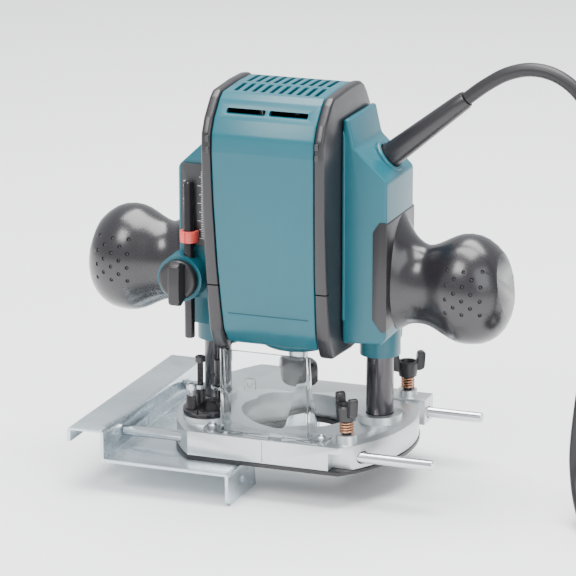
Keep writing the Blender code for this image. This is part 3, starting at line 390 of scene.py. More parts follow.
def weld():
    bpy.ops.mesh.remove_doubles(threshold=0.000004)


def outward():
    bpy.ops.mesh.normals_make_consistent(inside=False)


def block(name, low, high):
    nothing_selected()
    low, high = Vector(low), Vector(high)
    bpy.ops.mesh.primitive_cube_add(size=1.0, location=(low + high) / 2)
    bpy.context.object.scale = high - low
    return added(name)


def plate(name, outline, low, high, axis="Z"):
    """A flat outline drawn on a ring of points, filled and extruded along an axis."""
    nothing_selected()
    bpy.ops.mesh.primitive_circle_add(vertices=len(outline), fill_type="NGON")
    piece = added(name)
    for vert, (u, v) in zip(piece.data.vertices, outline):
        vert.co = {"X": (low, u, v), "Y": (u, low, v), "Z": (u, v, low)}[axis]
    move = {"X": (high - low, 0, 0), "Y": (0, high - low, 0), "Z": (0, 0, high - low)}[axis]
    return edit(piece, lambda: bpy.ops.mesh.extrude_region_move(TRANSFORM_OT_translate={"value": move}),
                lambda: bpy.ops.mesh.select_all(action="SELECT"), outward)


def turned(name, profile, centre, axis=(0, 0, 1), steps=48):
    """A ring of (radius, along) points spun once about an axis."""
    nothing_selected()
    bpy.ops.mesh.primitive_circle_add(vertices=len(profile), fill_type="NOTHING")
    piece = added(name)
    for vert, (radius, along) in zip(piece.data.vertices, profile):
        vert.co = (radius, 0, along)
    edit(piece,
         lambda: bpy.ops.mesh.spin(steps=steps, angle=2 * math.pi, center=(0, 0, 0), axis=(0, 0, 1)),
         lambda: bpy.ops.mesh.select_all(action="SELECT"), weld,
         lambda: bpy.ops.mesh.dissolve_degenerate(threshold=0.000004),
         lambda: bpy.ops.mesh.delete_loose(), lambda: bpy.ops.mesh.select_all(action="SELECT"), outward)
    piece.rotation_mode = "QUATERNION"
    piece.rotation_quaternion = Vector((0, 0, 1)).rotation_difference(Vector(axis))
    return moved(piece, centre)


def rod(name, start, end, radius, end_radius=None, steps=32):
    start, end = Vector(start), Vector(end)
    return turned(name, [(0, 0), (radius, 0),
                         (radius if end_radius is None else end_radius, (end - start).length),
                         (0, (end - start).length)], start, end - start, steps)


def strand(name, points, radius, sides=4, closed=False):
    """A round wire or cord along a row of points, made a mesh."""
    line = bpy.data.curves.new(name, "CURVE")
    line.dimensions = "3D"
    line.bevel_depth = radius
    line.bevel_resolution = sides
    line.use_fill_caps = True
    spline = line.splines.new("POLY")
    spline.points.add(len(points) - 1)
    spline.use_cyclic_u = closed
    for point, place in zip(spline.points, points):
        point.co = (*place, 1.0)
    piece = bpy.data.objects.new(name, line)
    bpy.context.scene.collection.objects.link(piece)
    pick(piece)
    bpy.ops.object.convert(target="MESH")
    piece = bpy.context.object
    return edit(piece, weld, outward)


def combined(piece, operation, tools):
    for tool in tools:
        modify(piece, "BOOLEAN", operation=operation, object=tool, solver="EXACT")
        bpy.data.objects.remove(tool, do_unlink=True)
    return piece


def cut(piece, *tools):
    return combined(piece, "DIFFERENCE", tools)


def fused(piece, *tools):
    return combined(piece, "UNION", tools)


def gathered(tools):
    """Separate shapes that don't touch, joined as one object."""
    nothing_selected()
    for tool in tools:
        tool.select_set(True)
    bpy.context.view_layer.objects.active = tools[0]
    bpy.ops.object.join()
    return tools[0]


def moved(piece, offset):
    piece.location = offset
    pick(piece)
    bpy.ops.object.transform_apply(location=True, rotation=True, scale=True)
    return piece


def turn(piece, angle, axis, centre):
    """Turns a shape about an axis through a point."""
    return edit(piece, lambda: bpy.ops.transform.rotate(value=-angle, orient_axis=axis,
                                                        center_override=centre))


def eased(piece, width, segments=2, angle=32):
    """Rounds the sharp edges."""
    return modify(piece, "BEVEL", width=width, segments=segments, limit_method="ANGLE",
                  angle_limit=math.radians(angle), miter_outer="MITER_ARC")


def finished(piece, skin, body, *nodes, angle=38):
    """Shades a piece, gives it its finish and joins it to its body."""
    pick(piece)
    bpy.ops.object.shade_smooth_by_angle(angle=math.radians(angle))
    piece.data.materials.clear()
    piece.data.materials.append(SKINS[skin].material)
    if body:
        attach(piece, body)
    if nodes:
        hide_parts(*nodes)
    return piece


def painted(skin, *nodes):
    """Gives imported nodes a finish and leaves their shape."""
    for node in nodes:
        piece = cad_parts[node]
        piece.data.materials.clear()
        piece.data.materials.append(SKINS[skin].material)


# ---------------------------------------------------------------- outlines

def arc(centre, radius, start, end, steps):
    return [(centre[0] + radius * math.cos(math.radians(start + (end - start) * i / steps)),
             centre[1] + radius * math.sin(math.radians(start + (end - start) * i / steps)))
            for i in range(steps + 1)]


def rectangle(left, low, right, high):
    return [(left, low), (right, low), (right, high), (left, high)]


def filleted(points, radii, steps=4):
    """An outline with its corners rounded; radii is one number, or one for each corner."""
    rounded = []
    count = len(points)
    if not hasattr(radii, "__len__"):
        radii = [radii] * count
    for i, radius in enumerate(radii):
        here = Vector(points[i])
        before, after = Vector(points[i - 1]) - here, Vector(points[(i + 1) % count]) - here
        half = before.angle(after) / 2
        reach = min(radius / max(math.tan(half), 0.01), before.length * 0.49, after.length * 0.49)
        if radius <= 0 or half > math.radians(88):
            rounded.append(tuple(here))
            continue
        first, last = here + before.normalized() * reach, here + after.normalized() * reach
        for k in range(steps + 1):
            t = k / steps
            rounded.append(tuple(first * (1 - t) ** 2 + here * 2 * t * (1 - t) + last * t * t))
    return rounded


def inset(points, distance):
    """An outline moved inwards; its points run anticlockwise."""
    moved = []
    for i, point in enumerate(points):
        here = Vector(point)
        before = (here - Vector(points[i - 1])).normalized()
        after = (Vector(points[(i + 1) % len(points)]) - here).normalized()
        left = Vector((-before.y - after.y, before.x + after.x)).normalized()
        moved.append(tuple(here + left * distance / max(0.5, left.dot(Vector((-before.y, before.x))))))
    return moved


def smooth_row(points, step):
    """A smooth row of points through the given ones."""
    row = [Vector(p) for p in points]
    row = [row[0] * 2 - row[1]] + row + [row[-1] * 2 - row[-2]]
    path = []
    for a, b, c, d in zip(row, row[1:], row[2:], row[3:]):
        count = max(1, round((c - b).length / step))
        for i in range(count):
            t = i / count
            path.append(0.5 * ((2 * b) + (c - a) * t + (2 * a - 5 * b + 4 * c - d) * t ** 2
                               + (3 * b - a - 3 * c + d) * t ** 3))
    path.append(row[-2])
    return path


def base_outline(shrink=0.0):
    """Straight front and rear edges joined by long side arcs."""
    half, flat, wide = 0.061, 0.0465, 0.071
    radius = (half * half + (wide - flat) ** 2) / (2 * (wide - flat))
    reach = math.degrees(math.asin(half / radius))
    return (arc((wide - radius, 0), radius - shrink, -reach, reach, 24)
            + arc((radius - wide, 0), radius - shrink, 180 - reach, 180 + reach, 24))


def block_outline(drop=0.0, grow=0.0):
    """Side view of the motor block as (Y, Z), anticlockwise from the lower front."""
    low = 0.068 - drop
    points = [
        (-0.042, low), (-0.010, low - 0.002), (0.026, low), (0.037, 0.080), (0.040, 0.104), (0.039, 0.130),
        (0.036, 0.156), (0.0305, 0.180), (0.020, 0.203), (0.0085, HOUSING_TOP + 0.0015),
        (-0.018, HOUSING_TOP + 0.0015), (-0.042, HOUSING_TOP), (-0.0465, HOUSING_TOP - 0.003),
        (-0.0555, 0.2035), (-0.0597, 0.195), (-0.0603, 0.185), (-0.0588, 0.155), (-0.0555, 0.118),
        (-0.0515, 0.092), (-0.0485, 0.077)]
    radii = [0.004, 0.01, 0.008, 0.01, 0.02, 0.03, 0.03, 0.02, 0.02, 0.02,
             0.02, 0.004, 0.004, 0.006, 0.008, 0.01, 0.03, 0.03, 0.02, 0.006]
    return inset(filleted([(y, SOLE_Z + z) for y, z in points], radii, 3), -grow)


def taper(piece, amount, low=None, side=None):
    """Draws the sides in towards the foot of the panel; side is a band's inner side."""
    foot, top = SOLE_Z + 0.068, SOLE_Z + 0.186
    for vert in piece.data.vertices:
        share = min(1.0, max(0.0, (top - vert.co.z) / (top - foot))) ** 1.4
        if side is None:
            vert.co.x *= 1 - share * amount / PANEL_HALF
        elif abs(vert.co.x) < low:
            vert.co.x -= side * share * amount
    return piece


# ---------------------------------------------------------------- base

class ROUTER_OT_base(Operator):
    """Cast base with collar rings and thumb screw bosses, and the black sole under it"""
    bl_idname = "router.base"
    bl_label = "Base and sole"

    def execute(self, context):
        casting = plate("casting", base_outline(), CASTING_LOW, CASTING_TOP)
        cut(casting, rod("bore", (0, 0, 0), (0, 0, 0.06), 0.034, steps=72))
        rings = [rod("collar", (COLUMN_X, 0, CASTING_LOW + 0.004), (COLUMN_X, 0, CASTING_TOP + 0.0045),
                     0.014, 0.0132),
                 rod("collar", (-COLUMN_X, 0, CASTING_LOW + 0.004), (-COLUMN_X, 0, CASTING_TOP + 0.0045),
                     0.0125, 0.0118),
                 rod("seat", (*TURRET, CASTING_LOW + 0.004), (*TURRET, SOLE_Z + 0.0202), 0.0138),
                 block("rod_block", (0.046, ROD_Y - 0.008, CASTING_LOW + 0.0002),
                       (0.066, ROD_Y + 0.008, CASTING_TOP + 0.0012))]
        for x, y in THUMBS.values():
            rings.append(rod("boss", (x, y, CASTING_TOP - 0.004), (x, y, THUMB_BOSS_TOP), 0.0068, 0.0058))
        fused(casting, *rings)
        eased(casting, context.scene.router_sizes.edge_round * 1.1, 2)
        holes = [rod("socket", (side * COLUMN_X, 0, SOLE_Z + 0.0047), (side * COLUMN_X, 0, 0.06), 0.0084)
                 for side in (-1, 1)]
        holes += [rod("rod_hole", (-0.09, y, ROD_Z), (0.09, y, ROD_Z), 0.0038) for y in (-ROD_Y, ROD_Y)]
        holes += [rod("thread", (x, y, ROD_Z), (x, y, 0.06), 0.0028, steps=24)
                  for x, y in THUMBS.values()]
        holes.append(block("centre_groove", (-0.0006, -0.0625, CASTING_LOW + 0.0012),
                           (0.0006, -0.0602, CASTING_TOP - 0.001)))
        holes.append(block("rod_notch", (0.0405, -0.0645, CASTING_LOW - 0.001),
                           (0.0535, -0.0535, CASTING_LOW + 0.0105)))
        cut(casting, *holes)
        casting.name = "base_with_collars"
        finished(casting, "alloy", "base", "base_casting", angle=30)
        sole = plate("sole", base_outline(-0.0005), SOLE_Z, SOLE_Z + 0.0022)
        cut(sole, rod("bore", (0, 0, 0), (0, 0, 0.03), 0.031, steps=72))
        cut(sole, *[rod("sink", (x, y, SOLE_Z - 0.001), (x, y, SOLE_Z + 0.003), 0.0036, steps=24)
                    for x in (-0.031, 0.031) for y in (-0.056, 0.056)])
        eased(sole, 0.0004, 2)
        finished(sole, "black", "base", "sole_sheet")
        painted("screw", *["sole_screw_%d" % n for n in (1, 2, 3, 4)])
        return {"FINISHED"}


class ROUTER_OT_columns(Operator):
    """Two ground columns with chamfered ends, and the springs inside them"""
    bl_idname = "router.columns"
    bl_label = "Columns"

    def execute(self, context):
        for side, name in ((-1, "left"), (1, "right")):
            tube = turned(name + "_ground_column", [
                (0.0064, 0.0), (0.0078, 0.0), (0.0081, 0.0004), (0.0081, 0.1122), (0.0073, 0.113),
                (0.0064, 0.113)], (side * COLUMN_X, 0, SOLE_Z + 0.005), steps=72)
            finished(tube, "column", "base", name + "_column")
        painted("steel", "left_plunge_spring", "right_plunge_spring")
        return {"FINISHED"}


class ROUTER_OT_guide(Operator):
    """Straight guide folded from plated sheet, on two rods with screws"""
    bl_idname = "router.guide"
    bl_label = "Straight guide"

    def execute(self, context):
        wall, top, under, half = 0.002, SOLE_Z + 0.0172, SOLE_Z - GAP, 0.078
        outer, web, edge = -0.1155, -0.0945, -0.0145
        fold = [(outer, top - 0.009), (outer + wall, top - 0.009), (outer + wall, top - wall),
                (web, top - wall), (web, under - wall), (edge - wall, under - wall), (edge - wall, 0.0),
                (edge, 0.0), (edge, under), (web + wall, under), (web + wall, top), (outer, top)]
        sheet = plate("folded_guide",
                      filleted(fold, [0, 0, 0.0010, 0.0010, 0.0032, 0.0010, 0, 0, 0.0030, 0.0010,
                                      0.0030, 0.0032], 6), -half, half, "Y")
        ear = 0.046
        cuts = [plate("ear_gap",
                      filleted([(ear - half, -0.002), (half - ear, -0.002),
                                (half - ear + 0.005, under - wall),
                                (ear - half - 0.005, under - wall)], [0, 0, 0.002, 0.002], 4),
                      edge - wall - 0.001, edge + 0.001, "X")]
        for side in (-1, 1):
            cuts.append(rod("ear_hole", (edge - 0.006, side * 0.0555, SOLE_Z * 0.5),
                            (edge + 0.006, side * 0.0555, SOLE_Z * 0.5), 0.0024, steps=32))
            cuts.append(rod("screw_hole", (web - 0.004, side * ROD_Y, ROD_Z),
                            (web + 0.006, side * ROD_Y, ROD_Z), 0.0022, steps=24))
        cuts.append(rod("cutter_room", (0, 0, -0.001), (0, 0, SOLE_Z + 0.001), 0.030, steps=72))
        for side in (-1, 1):
            cuts.append(plate("corner", [(side * (half + 0.001), -0.001), (side * (half + 0.001), 0.0035),
                                         (side * (half - 0.0045), -0.001)], edge - wall - 0.001,
                              edge + 0.001, "X"))
        cut(sheet, *cuts)
        eased(sheet, 0.00035, 2, 40)
        finished(sheet, "zinc", "guide", "straight_guide")
        for side, name in ((-1, "front"), (1, "rear")):
            start = Vector((web + wall + GAP, side * ROD_Y, ROD_Z))
            length = 0.100 - start.x
            bar = turned(name + "_bar", [(0, 0.002), (0.0024, 0.0), (0.0028, 0.0), (0.0031, 0.0004),
                                         (0.0031, length - 0.0012), (0.0022, length), (0, length)], start,
                         (1, 0, 0), 40)
            finished(bar, "steel", "guide", "guide_rod_" + name)
            screw = turned(name + "_bar_screw", [
                (0, 0.0012), (0.0012, 0.0012), (0.0018, 0.0), (0.0030, 0.0004), (0.0036, 0.0014),
                (0.0036, 0.0034), (0.0019, 0.0036), (0.0019, 0.0040), (0, 0.0040)],
                           (web - 0.0036, side * ROD_Y, ROD_Z), (1, 0, 0), 32)
            finished(screw, "screw", "guide", "rod_screw_" + name)
        return {"FINISHED"}


class ROUTER_OT_thumb_screws(Operator):
    """Thumb screws with ringed heads and two wings, over coil springs"""
    bl_idname = "router.thumb_screws"
    bl_label = "Thumb screws"

    def execute(self, context):
        for name, (x, y) in THUMBS.items():
            lift = THUMB_BOSS_TOP + 0.0085
            hub = turned("thumb_" + name, [
                (0, 0.0052), (0.0036, 0.0052), (0.0042, 0.0078), (0.0047, 0.0090), (0.0056, 0.0092),
                (0.0063, 0.0082), (0.0061, 0.0046), (0.0054, 0.0), (0.0024, 0.0), (0.0024, -0.0182),
                (0, -0.0182)], (0, 0, 0), steps=48)
            for side in (-1, 1):
                wing = plate("wing",
                             filleted([(side * 0.0050, 0.0024), (side * 0.0100, 0.0040),
                                       (side * 0.0108, 0.0148),
                                       (side * 0.0060, 0.0148)], 0.0024, 5), -0.0025, 0.0025, "Y")
                fused(hub, eased(wing, 0.0006, 2))
            cut(hub, rod("well", (0, 0, 0.0052), (0, 0, 0.02), 0.0036, steps=32))
            turn(hub, math.radians(THUMB_AIMS[name]), "Z", (0, 0, 0))
            moved(hub, (x, y, lift))
            eased(hub, 0.0003, 2, 40)
            finished(hub, "black", name + "_thumb", "thumb_screw_" + name)
            coil = [(x + 0.0037 * math.cos(k * 0.3), y + 0.0037 * math.sin(k * 0.3),
                     THUMB_BOSS_TOP + 0.0008 + 0.0066 * k / 84)
                    for k in range(85)]
            finished(strand(name + "_coil_spring", coil, 0.00055), "copper", "base", "thumb_spring_" + name)
        return {"FINISHED"}


class ROUTER_OT_shield(Operator):
    """Clear chip shield with side walls, a foot flange and a moulded boss"""
    bl_idname = "router.shield"
    bl_label = "Chip shield"

    def execute(self, context):
        foot, top, front, wall, half = CASTING_TOP + GAP, SOLE_Z + 0.068, -0.0585, 0.0019, 0.0275
        plan = filleted([(-half, front), (half, front), (half, front + 0.016), (half - wall, front + 0.016),
                         (half - wall, front + wall), (wall - half, front + wall),
                         (wall - half, front + 0.016), (-half, front + 0.016)],
                        [0.0028, 0.0028, 0, 0, 0.0012, 0.0012, 0, 0], 5)
        shield = plate("shield", plan, foot, top)
        side = filleted([(front - 0.002, foot), (front + 0.0155, foot), (front + 0.0145, SOLE_Z + 0.031),
                         (front + 0.0075, SOLE_Z + 0.041), (front + 0.0036, SOLE_Z + 0.064),
                         (front + 0.0030, top + 0.001), (front - 0.002, top + 0.001)],
                        [0, 0, 0.003, 0.003, 0.004, 0, 0], 4)
        combined(shield, "INTERSECT", [plate("profile", side, -0.03, 0.03, "X")])
        flange = plate("flange", filleted(rectangle(-0.038, front - 0.0015, 0.038, front + 0.0145),
                                          0.0035, 5), foot, foot + 0.002)
        boss = plate("boss", filleted(rectangle(-0.0115, SOLE_Z + 0.0455, -0.0045, SOLE_Z + 0.0525),
                                      0.0012, 3), front - 0.001, front + 0.001, "Y")
        fused(shield, flange, boss)
        cut(shield, block("window", (0.003, front - 0.003, foot - 0.001),
                          (0.0115, front + wall + 0.002, foot + 0.0032)))
        cut(shield, *[rod("screw_hole", (x, SHIELD_SCREW_Y, foot - 0.001),
                          (x, SHIELD_SCREW_Y, foot + 0.004), 0.0018, steps=24)
                      for x in (-SHIELD_SCREW_X, SHIELD_SCREW_X)])
        cut(shield, rod("boss_hollow", (-0.008, front - 0.002, SOLE_Z + 0.049),
                        (-0.008, front - 0.0003, SOLE_Z + 0.049), 0.0018, steps=24))
        eased(shield, 0.00035, 2, 40)
        finished(shield, "clear", "base", "chip_shield")
        for x, name in ((-SHIELD_SCREW_X, "left"), (SHIELD_SCREW_X, "right")):
            screw = turned("shield_fixing_" + name, [
                (0, 0.0036), (0.0010, 0.0036), (0.0014, 0.0042), (0.0020, 0.0040), (0.0028, 0.0032),
                (0.0028, 0.0023), (0.0015, 0.0023), (0.0015, -0.004), (0, -0.004)],
                           (x, SHIELD_SCREW_Y, foot), steps=32)
            finished(screw, "screw", "base", "shield_screw_" + name)
        return {"FINISHED"}


class ROUTER_OT_stops(Operator):
    """Turret with adjusting bolts, height limit rod with its nut, ring and washer"""
    bl_idname = "router.stops"
    bl_label = "Turret and limit rod"

    def execute(self, context):
        seat = SOLE_Z + 0.0205
        disc = turned("turret", [
            (0, 0.0039), (0.0100, 0.0039), (0.0104, 0.0045), (0.0124, 0.0045), (0.0134, 0.0041),
            (0.0138, 0.0032), (0.0138, 0.0006), (0.0134, 0), (0.0025, 0), (0.0025, -0.009), (0, -0.009)],
                      (*TURRET, seat), steps=72)
        reach = 0.0095
        places = {}
        for name, angle, height, length in (("tall", 133, 0.0115, 0.0205), ("middle", 228, 0.0115, 0.0075),
                                            ("low", 5, 0.0075, 0)):
            x = TURRET[0] + reach * math.cos(math.radians(angle))
            y = TURRET[1] + reach * math.sin(math.radians(angle))
            places[name] = (x, y, seat + height + length, length + height - 0.0065)
            fused(disc, rod("post", (x, y, seat + 0.002), (x, y, seat + height), 0.0035, 0.0033))
            if length:
                cut(disc, rod("thread", (x, y, seat + 0.006), (x, y, seat + height + 0.001), 0.0023,
                              steps=24))
            else:
                cut(disc, block("slot", (x - 0.004, y - 0.0004, seat + height - 0.0012),
                                (x + 0.004, y + 0.0004, seat + height + 0.001)))
        cut(disc, block("notch", (TURRET[0] - 0.0006, TURRET[1] - 0.0145, seat + 0.0022),
                        (TURRET[0] + 0.0006, TURRET[1] - 0.0122, seat + 0.006)))
        eased(disc, 0.0003, 2, 40)
        finished(disc, "oxide", "turret", "stopper_block")
        for name in ("tall", "middle"):
            x, y, top, length = places[name]
            threads = [(0.0019 - 0.0002 * (k % 2), -0.0042 - 0.0005 * k)
                       for k in range(int((length - 0.0046) / 0.0005))]
            bolt = turned(name + "_bolt", [
                (0, -0.0012), (0.0014, -0.0012), (0.0014, 0), (0.0026, 0), (0.0031, -0.0006),
                (0.0031, -0.0034), (0.0019, -0.0038)] + threads + [(0.0015, -length), (0, -length)],
                          (x, y, top), steps=32)
            finished(bolt, "oxide" if name == "tall" else "screw", name + "_bolt", "adjusting_bolt_" + name)
        tall = places["tall"]
        nut = turned("tall_lock_nut", [(0.0022, 0), (0.0030, 0), (0.0031, 0.0004), (0.0031, 0.0022),
                                       (0.0030, 0.0026), (0.0022, 0.0026)],
                     (tall[0], tall[1], seat + 0.0117), steps=6)
        finished(nut, "screw", "tall_bolt")
        foot = CASTING_LOW + 0.006 + GAP
        grooves = [(0.0022 - 0.00022 * (k % 2), 0.018 + 0.0006 * k) for k in range(160)]
        stem = turned("threaded_rod", [(0, 0), (0.0022, 0)] + grooves + [(0.0018, 0.118), (0, 0.118)],
                      (*LIMIT, foot), steps=24)
        finished(stem, "oxide", "base", "limit_rod")
        nut = turned("limit_rod_nut", [(0.0025, 0.0), (0.0036, 0.0), (0.0039, 0.0005), (0.0039, 0.0050),
                                       (0.0034, 0.0055), (0.0034, 0.0068), (0.0039, 0.0073),
                                       (0.0039, 0.0150), (0.0035, 0.0155), (0.0025, 0.0155)],
                     (*LIMIT, SOLE_Z + 0.0325), steps=48)
        finished(nut, "black", "stop_nut", "limit_nut")
        washer = turned("limit_washer", [(0.0024, 0), (0.0056, 0), (0.0059, 0.0003), (0.0059, 0.0017),
                                         (0.0056, 0.0020), (0.0024, 0.0020)],
                        (*LIMIT, SOLE_Z + 0.0300), steps=48)
        finished(washer, "steel", "base")
        return {"FINISHED"}


# ---------------------------------------------------------------- motor head

class ROUTER_OT_shells(Operator):
    """Crowned front and rear shells with air slots, and the soft bands beside them"""
    bl_idname = "router.shells"
    bl_label = "Motor shells and bands"

    def execute(self, context):
        sizes = context.scene.router_sizes
        half, outer = PANEL_HALF, block_outline()
        pitch, rows = 0.0054, ((-0.0385, -0.0215), (-0.018, 0.004))
        for name, low, high in (("front", -0.2, SHELL_SPLIT_Y - GAP / 2),
                                ("rear", SHELL_SPLIT_Y + GAP / 2, 0.2)):
            shell = plate(name + "_shell", outer, -half, half, "X")
            eased(shell, 0.0012, 3, 50)
            cut(shell, plate("hollow", inset(outer, 0.0026), -half - 0.01, half + 0.01, "X"))
            combined(shell, "INTERSECT", [block("keep", (-0.1, low, 0), (0.1, high, 0.4))])
            cut(shell, rod("nose_room", (0, 0, SOLE_Z + 0.05), (0, 0, SOLE_Z + 0.085), 0.0236, steps=64))
            if name == "front":
                slots = []
                for start, end in rows:
                    for i in range(sizes.slot_count):
                        x = (i - (sizes.slot_count - 1) / 2) * pitch
                        slots.append(plate("slot",
                                           filleted(rectangle(x - sizes.slot_width / 2, start,
                                                              x + sizes.slot_width / 2, end), 0.0008, 3),
                                           SOLE_Z + HOUSING_TOP - 0.006, SOLE_Z + HOUSING_TOP + 0.006))
                for side in (-1, 1):
                    a, b = sorted((side * 0.0012, side * 0.0246))
                    slots.append(plate("twin_vent",
                                       filleted(rectangle(a, SOLE_Z + 0.2062, b, SOLE_Z + 0.2092),
                                                0.001, 3),
                                       -0.062, -0.045, "Y"))
                cut(shell, gathered(slots))
                ledge = plate("ledge",
                              filleted(rectangle(-0.0265, SOLE_Z + 0.0878, 0.0265, SOLE_Z + 0.0886),
                                       0.0003, 2), -0.07, -0.0502, "Y")
                cut(shell, ledge)
                # Painted shade: a black sheet under the top slots, so the slots read dark instead of
                # showing the lit hollow of the shell.
                shade_sheet = plate("slot_shade_sheet", filleted(rectangle(-0.030, -0.0415, 0.030, 0.0080), 0.002, 3),
                               SOLE_Z + HOUSING_TOP - 0.0045, SOLE_Z + HOUSING_TOP - 0.0030)
                finished(shade_sheet, "black", "head")
            else:
                slots = [plate("rear_vent", filleted(rectangle(-0.018, z, 0.018, z + 0.003), 0.0012, 3),
                               0.030, 0.045, "Y") for z in (SOLE_Z + 0.112 + i * 0.0065 for i in range(5))]
                slots += [rod("screw_hole", (x, 0, SHELL_SCREW_Z), (x, 0.06, SHELL_SCREW_Z), 0.0024,
                              steps=24)
                          for x in (-SHELL_SCREW_X, SHELL_SCREW_X)]
                cut(shell, gathered(slots))
            taper(shell, sizes.panel_taper)
            eased(shell, 0.0003, 2, 48)
            finished(shell, "shell", "head", name + "_housing", angle=32)
        for side, name in ((-1, "left"), (1, "right")):
            low, high = sorted((side * BAND_IN, side * BAND_OUT))
            outline = block_outline(drop=0.0035, grow=0.0009)
            band = plate(name + "_soft_band", outline, low, high, "X")
            eased(band, 0.0019, 4, 50)
            step_line = rectangle(-0.075, SOLE_Z + 0.1045, -0.050, SOLE_Z + 0.1053)
            cut(band, plate("line", step_line, low - 0.001, high + 0.001, "X"))
            if side < 0:
                cut(band, rod("sweep", (*TURRET, CASTING_TOP), (*TURRET, RECESS_TOP), 0.0142, steps=64))
            taper(band, sizes.panel_taper, BAND_IN + 0.0012, side)
            finished(band, "rubber", "head", name + "_band", angle=45)
            for z, y in ((0.1905, -0.0612), (0.184, -0.0612)):
                clip = plate("%s_band_clip_%d" % (name, round(z * 1000)),
                             filleted(rectangle(side * 0.0330 - 0.0011, SOLE_Z + z, side * 0.0330 + 0.0011,
                                                SOLE_Z + z + 0.0042), 0.0005, 2),
                             y - 0.0003, y + 0.003, "Y")
                finished(eased(clip, 0.0002, 1), "grip", "head")
        for i, x in enumerate((-SHELL_SCREW_X, SHELL_SCREW_X), 1):
            screw = turned("shell_screw_%d" % i, [
                (0, 0.0006), (0.0012, 0.0006), (0.0016, 0.0022), (0.003, 0.0018), (0.0036, 0.0),
                (0.0019, 0.0), (0.0019, -0.012), (0, -0.012)], (x, 0.0402, SHELL_SCREW_Z), (0, 1, 0), 32)
            finished(screw, "screw", "head", "housing_screw_%d" % i)
        return {"FINISHED"}


